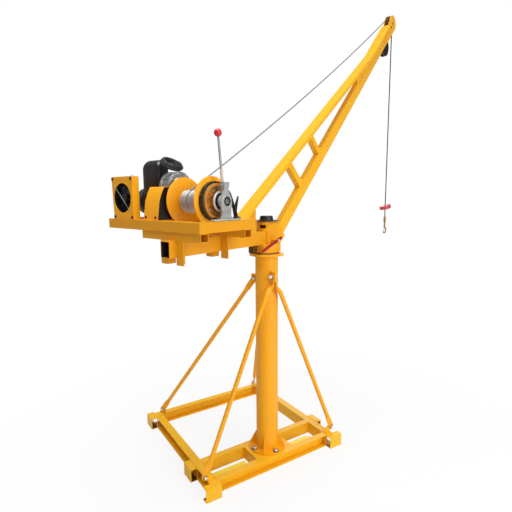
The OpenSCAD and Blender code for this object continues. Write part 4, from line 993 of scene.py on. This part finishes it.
hood_plastic = surface("hood_moulding", (0.013, 0.009, 0.009), 0.36, mottle=0.2, mottle_size=12, grain=0.25,
                       coat=0.15)
hood_x, hood_r, arch_z, hood_low, hood_front, hood_l = -0.56, 0.038, 1.874, 1.7115, 0.262, 0.144
round_end = 0.036
into = np.concatenate((round_end * (1 - np.cos(np.linspace(0, pi / 2, 12))), [hood_l / 2]))
into = np.concatenate((into, hood_l - into[-2::-1]))
short = np.minimum(into, hood_l - into)
shrink = round_end - np.sqrt(np.maximum(round_end**2 - np.maximum(round_end - short, 0) ** 2, 1e-9))
turn = np.linspace(0, pi, 30)
rings = []
for y, less in zip(hood_front + into, shrink):
    r, side = hood_r - 0.55 * less, hood_r - 0.25 * less
    arch = np.stack((hood_x - side * np.cos(turn), arch_z - 0.45 * less + r * np.sin(turn)), -1)
    outline = np.concatenate(([(hood_x - side, hood_low)], arch, [(hood_x + side, hood_low)]))
    rings.append(np.stack((outline[:, 0], np.full(len(outline), y), outline[:, 1]), -1))
parts = [skin(rings)]
for y in (0.31, 0.334, 0.358):
    rib = np.array([(hood_x - r * cos(a), arch_z + r * sin(a))
                    for r, order in ((hood_r - 0.0002, 1), (hood_r - 0.003, -1))
                    for a in np.linspace(0.15, pi - 0.15, 26)[::order]])
    parts.append(slab(rib, y - 0.002, y + 0.002, place_xz, 0.0006))
piece("motor_hood_moulding", "jib", parts, [hood_plastic], stands_for=["motor_hood"])


# ---- The fan box ----
# A folded sheet box, painted, with a round opening in its rear. The black fan turns on a pin inside,
# in front of a black grille, and a thin bright rod crosses the opening from corner to corner.

fan = axes["fan_spin"]
paint(orange, "fan_box")
fan_x, fan_h = -0.735, 0.224
parts = [turned([(0.0782, -0.017), (0.0812, -0.017), (0.0812, 0.015), (0.079, 0.015), (0.0782, 0.012)], fan,
                (1, 0, 0), 72, closed=True)]
taper = 0.012
back = np.array([(-0.0895, -0.1075), (0.089 - taper, -0.1075), (0.089, 0.1075), (-0.0895, 0.1075)]) + fan[1:]
parts.append(slab(back, -0.699, -0.6972, lambda u, v, w: np.stack((w, u, v), -1), 0.0004))
for z in np.arange(-0.069, 0.07, 0.0115):
    w = (0.077 ** 2 - z * z) ** 0.5
    parts.append(tube([(-0.7005, fan[1] - w, fan[2] + z), (-0.7005, fan[1], fan[2] + z),
                       (-0.7005, fan[1] + w, fan[2] + z)], 0.0013, 8) + (1,))
piece("fan_grille", "jib", parts, [black_plastic, motor_paint])
parts = [turned([(0.018, -0.0105), (0.0205, -0.0095), (0.022, -0.007), (0.022, 0.008), (0.02, 0.0095),
                 (0.0062, 0.0095)], fan, (1, 0, 0), 36)]
for k in range(6):
    turn0 = k * pi / 3 + 0.26
    rows = []
    for r, chord, pitch_angle in ((0.019, 0.016, 0.6), (0.034, 0.022, 0.5), (0.05, 0.026, 0.42),
                                  (0.0655, 0.024, 0.36)):
        e = np.array((0, cos(turn0), sin(turn0)))
        q = np.array((0, -sin(turn0), cos(turn0)))
        d = q * cos(pitch_angle) + np.array((1.0, 0, 0)) * sin(pitch_angle)
        n = np.cross(e, d)
        s = np.linspace(-1, 1, 7)
        mid = fan + e * r + np.outer(s * chord / 2, d) + np.outer(0.0018 * (1 - s * s), n)
        thick = 0.0011 * np.sqrt(np.maximum(1 - s * s, 0.12))
        rows.append(np.concatenate((mid + np.outer(thick, n), (mid - np.outer(thick, n))[::-1])))
    parts.append(skin(rows))
piece("fan_blades", "cooling_fan", parts, [black_plastic], stands_for=["cooling_fan"])
parts = [tube([(fan_x - 0.0018, 0.468, 1.78), (fan_x - 0.0022, 0.398, 1.71), (fan_x - 0.0018, 0.33, 1.642)],
              0.0012, 10) + (2,)]
for z, narrower in ((plat_z + 0.012, taper), (plat_z + fan_h - 0.012, 0)):
    for y in (fan[1] - 0.084, fan[1] + 0.084 - narrower):
        parts += plain_bolt(0, (fan_x, y, z), (-1, 0, 0), 0.007)
parts += plain_bolt(1, (-0.712, 0.33, plat_z + fan_h - 0.0002), (0, 0, 1), 0.009)
piece("fan_box_screws", "jib", parts, [black_steel, zinc, rod_steel])


# ---- The hoist rope ----
# Laid steel wire rope: six strands twisted round each other, from the drum over the head sheave
# and down to the hook. The drum pays out the hanging fall, which is made as a fixed piece of no body.

def laid(path, radius, lay=0.058, strands=6):
    """A laid rope along path (k, 3): its section has one lobe for each strand, and the section
    turns once in each lay length."""
    at, path = spaced(path, 0.0045)
    along = unit(np.gradient(path, axis=0))
    a = unit(np.cross(along, (0, 1.0, 0)))
    b = np.cross(along, a)
    turn = np.linspace(0, 2 * pi, 24, endpoint=False)
    twist = 2 * pi * at[:, None] / lay
    r = radius * (0.8 + 0.2 * np.abs(np.cos((turn[None] - twist) * strands / 2)) ** 0.7)
    return skin(path[:, None] + (r * np.cos(turn))[..., None] * a[:, None]
                + (r * np.sin(turn))[..., None] * b[:, None])


off = radians(30)
off_r, sag = lay_r + 0.0044, 0.16
start = np.array((shaft_x - off_r * sin(off), 0.038, shaft_z + off_r * cos(off)))
wrap = radians(126)
end = np.array((head[0] + rope_seat_r * cos(wrap), 0.0, head[2] + rope_seat_r * sin(wrap)))
t = np.linspace(0, 1, 120)[:, None]
run = start + t * (end - start) - np.array((0, 0, sag)) * t * (1 - t)
over = np.array([(head[0] + rope_seat_r * cos(a), 0.0, head[2] + rope_seat_r * sin(a))
                 for a in np.linspace(wrap, 0, 40)[1:]])
piece("hoist_rope_run", "jib", [laid(np.concatenate((run, over)), rope_r)], [bright_rope], crease=70,
      stands_for=["hoist_rope"])
rope_low, fall_r = 1.626, 0.0046
greased = surface("greased_rope", (0.03, 0.026, 0.027), 0.5, metal=0.3, mottle=0.2, mottle_size=120,
                  grain=0.5, grain_size=900)
fall = piece("hanging_rope_fall", None, [laid([(hang_x, 0, head[2]), (hang_x, 0, rope_low)], fall_r)],
             [greased], crease=70, stands_for=["hanging_rope"])
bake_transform(fall)


# ---- The hook block ----
# A thick red-painted iron disc that hangs a little askew on the rope through it, and under it a
# yellow-zinc swivel with a forged hook and its sprung latch, nearly in the jib's plane.

hook_brass = surface("dull_yellow_zinc", (0.42, 0.25, 0.07), 0.36, metal=0.7, mottle=0.2, mottle_size=60,
                     grain=0.2)
weight_red = surface("weight_enamel", (0.56, 0.045, 0.055), 0.38, mottle=0.1, mottle_size=40, grain=0.15,
                     coat=0.25)
weight_middle = (hang_x, 0, 1.601)
tilt_x, tilt_y = radians(-8), radians(-12)
weight_axis = (cos(tilt_x) * sin(tilt_y), -sin(tilt_x), cos(tilt_x) * cos(tilt_y))
parts = [turned([(0.0045, 0.0), (0.01, -0.0168), (0.044, -0.017), (0.0495, -0.0145), (0.051, -0.009),
                 (0.051, -0.0012), (0.05, -0.0004), (0.05, 0.0004), (0.051, 0.0012), (0.051, 0.009),
                 (0.0495, 0.0145), (0.044, 0.017), (0.01, 0.0168)], weight_middle, weight_axis, 64,
                closed=True)]
piece("hook_weight_disc", "hook", parts, [weight_red], stands_for=["hook_weight"])
hook_z = 1.572
hook_turn = radians(-4)
hook_c, hook_s = cos(hook_turn), sin(hook_turn)
bight = np.array((hang_x, 0, hook_z - 0.186))


def in_hook(points):
    """Hook points (u in the hook's plane, w square to it, height over the bight's centre)."""
    p = np.asarray(points, float)
    return np.stack((bight[0] + p[..., 0] * hook_c - p[..., 1] * hook_s,
                     p[..., 0] * hook_s + p[..., 1] * hook_c, bight[2] + p[..., 2]), -1)


parts = [laid([(hang_x, 0, rope_low), (hang_x, 0, hook_z - 0.062)], fall_r) + (1,),
         turned([(0.005, 0.0), (0.0095, -0.0015), (0.0108, -0.006), (0.0098, -0.016), (0.0102, -0.03),
                 (0.011, -0.046), (0.0098, -0.055), (0.005, -0.0578)], (hang_x, 0, hook_z - 0.058), (0, 0, 1),
                32),
         turned([(0.006, 0.0), (0.0066, -0.004), (0.0068, -0.03), (0.0066, -0.044)],
                (hang_x, 0, hook_z - 0.114), (0, 0, 1), 24)]
turn = np.radians(np.linspace(90, -160, 56))
k = np.linspace(0, 1, 56)
path = in_hook(np.stack((0.026 * np.cos(turn), 0 * turn, 0.026 * np.sin(turn)), -1))
parts.append(tube(path, 0.006 + 0.0004 * np.sin(pi * k) - 0.0024 * np.clip((k - 0.8) / 0.2, 0, 1) ** 1.6, 18))
parts.append(turned([(0.003, -0.0085), (0.004, -0.0075), (0.004, 0.0075), (0.003, 0.0085)],
                    in_hook((0.0, 0.0, 0.03)), (-hook_s, hook_c, 0), 16) + (1,))
latch = in_hook([(-0.004, 0.0, 0.028), (-0.012, 0.0, 0.014), (-0.0195, 0.0, 0.0), (-0.0225, 0.0, -0.004)])
parts.append(tube(latch, 0.0014, 8) + (1,))
piece("swivel_hook", "hook", parts, [hook_brass, greased], crease=45, stands_for=["hook"])
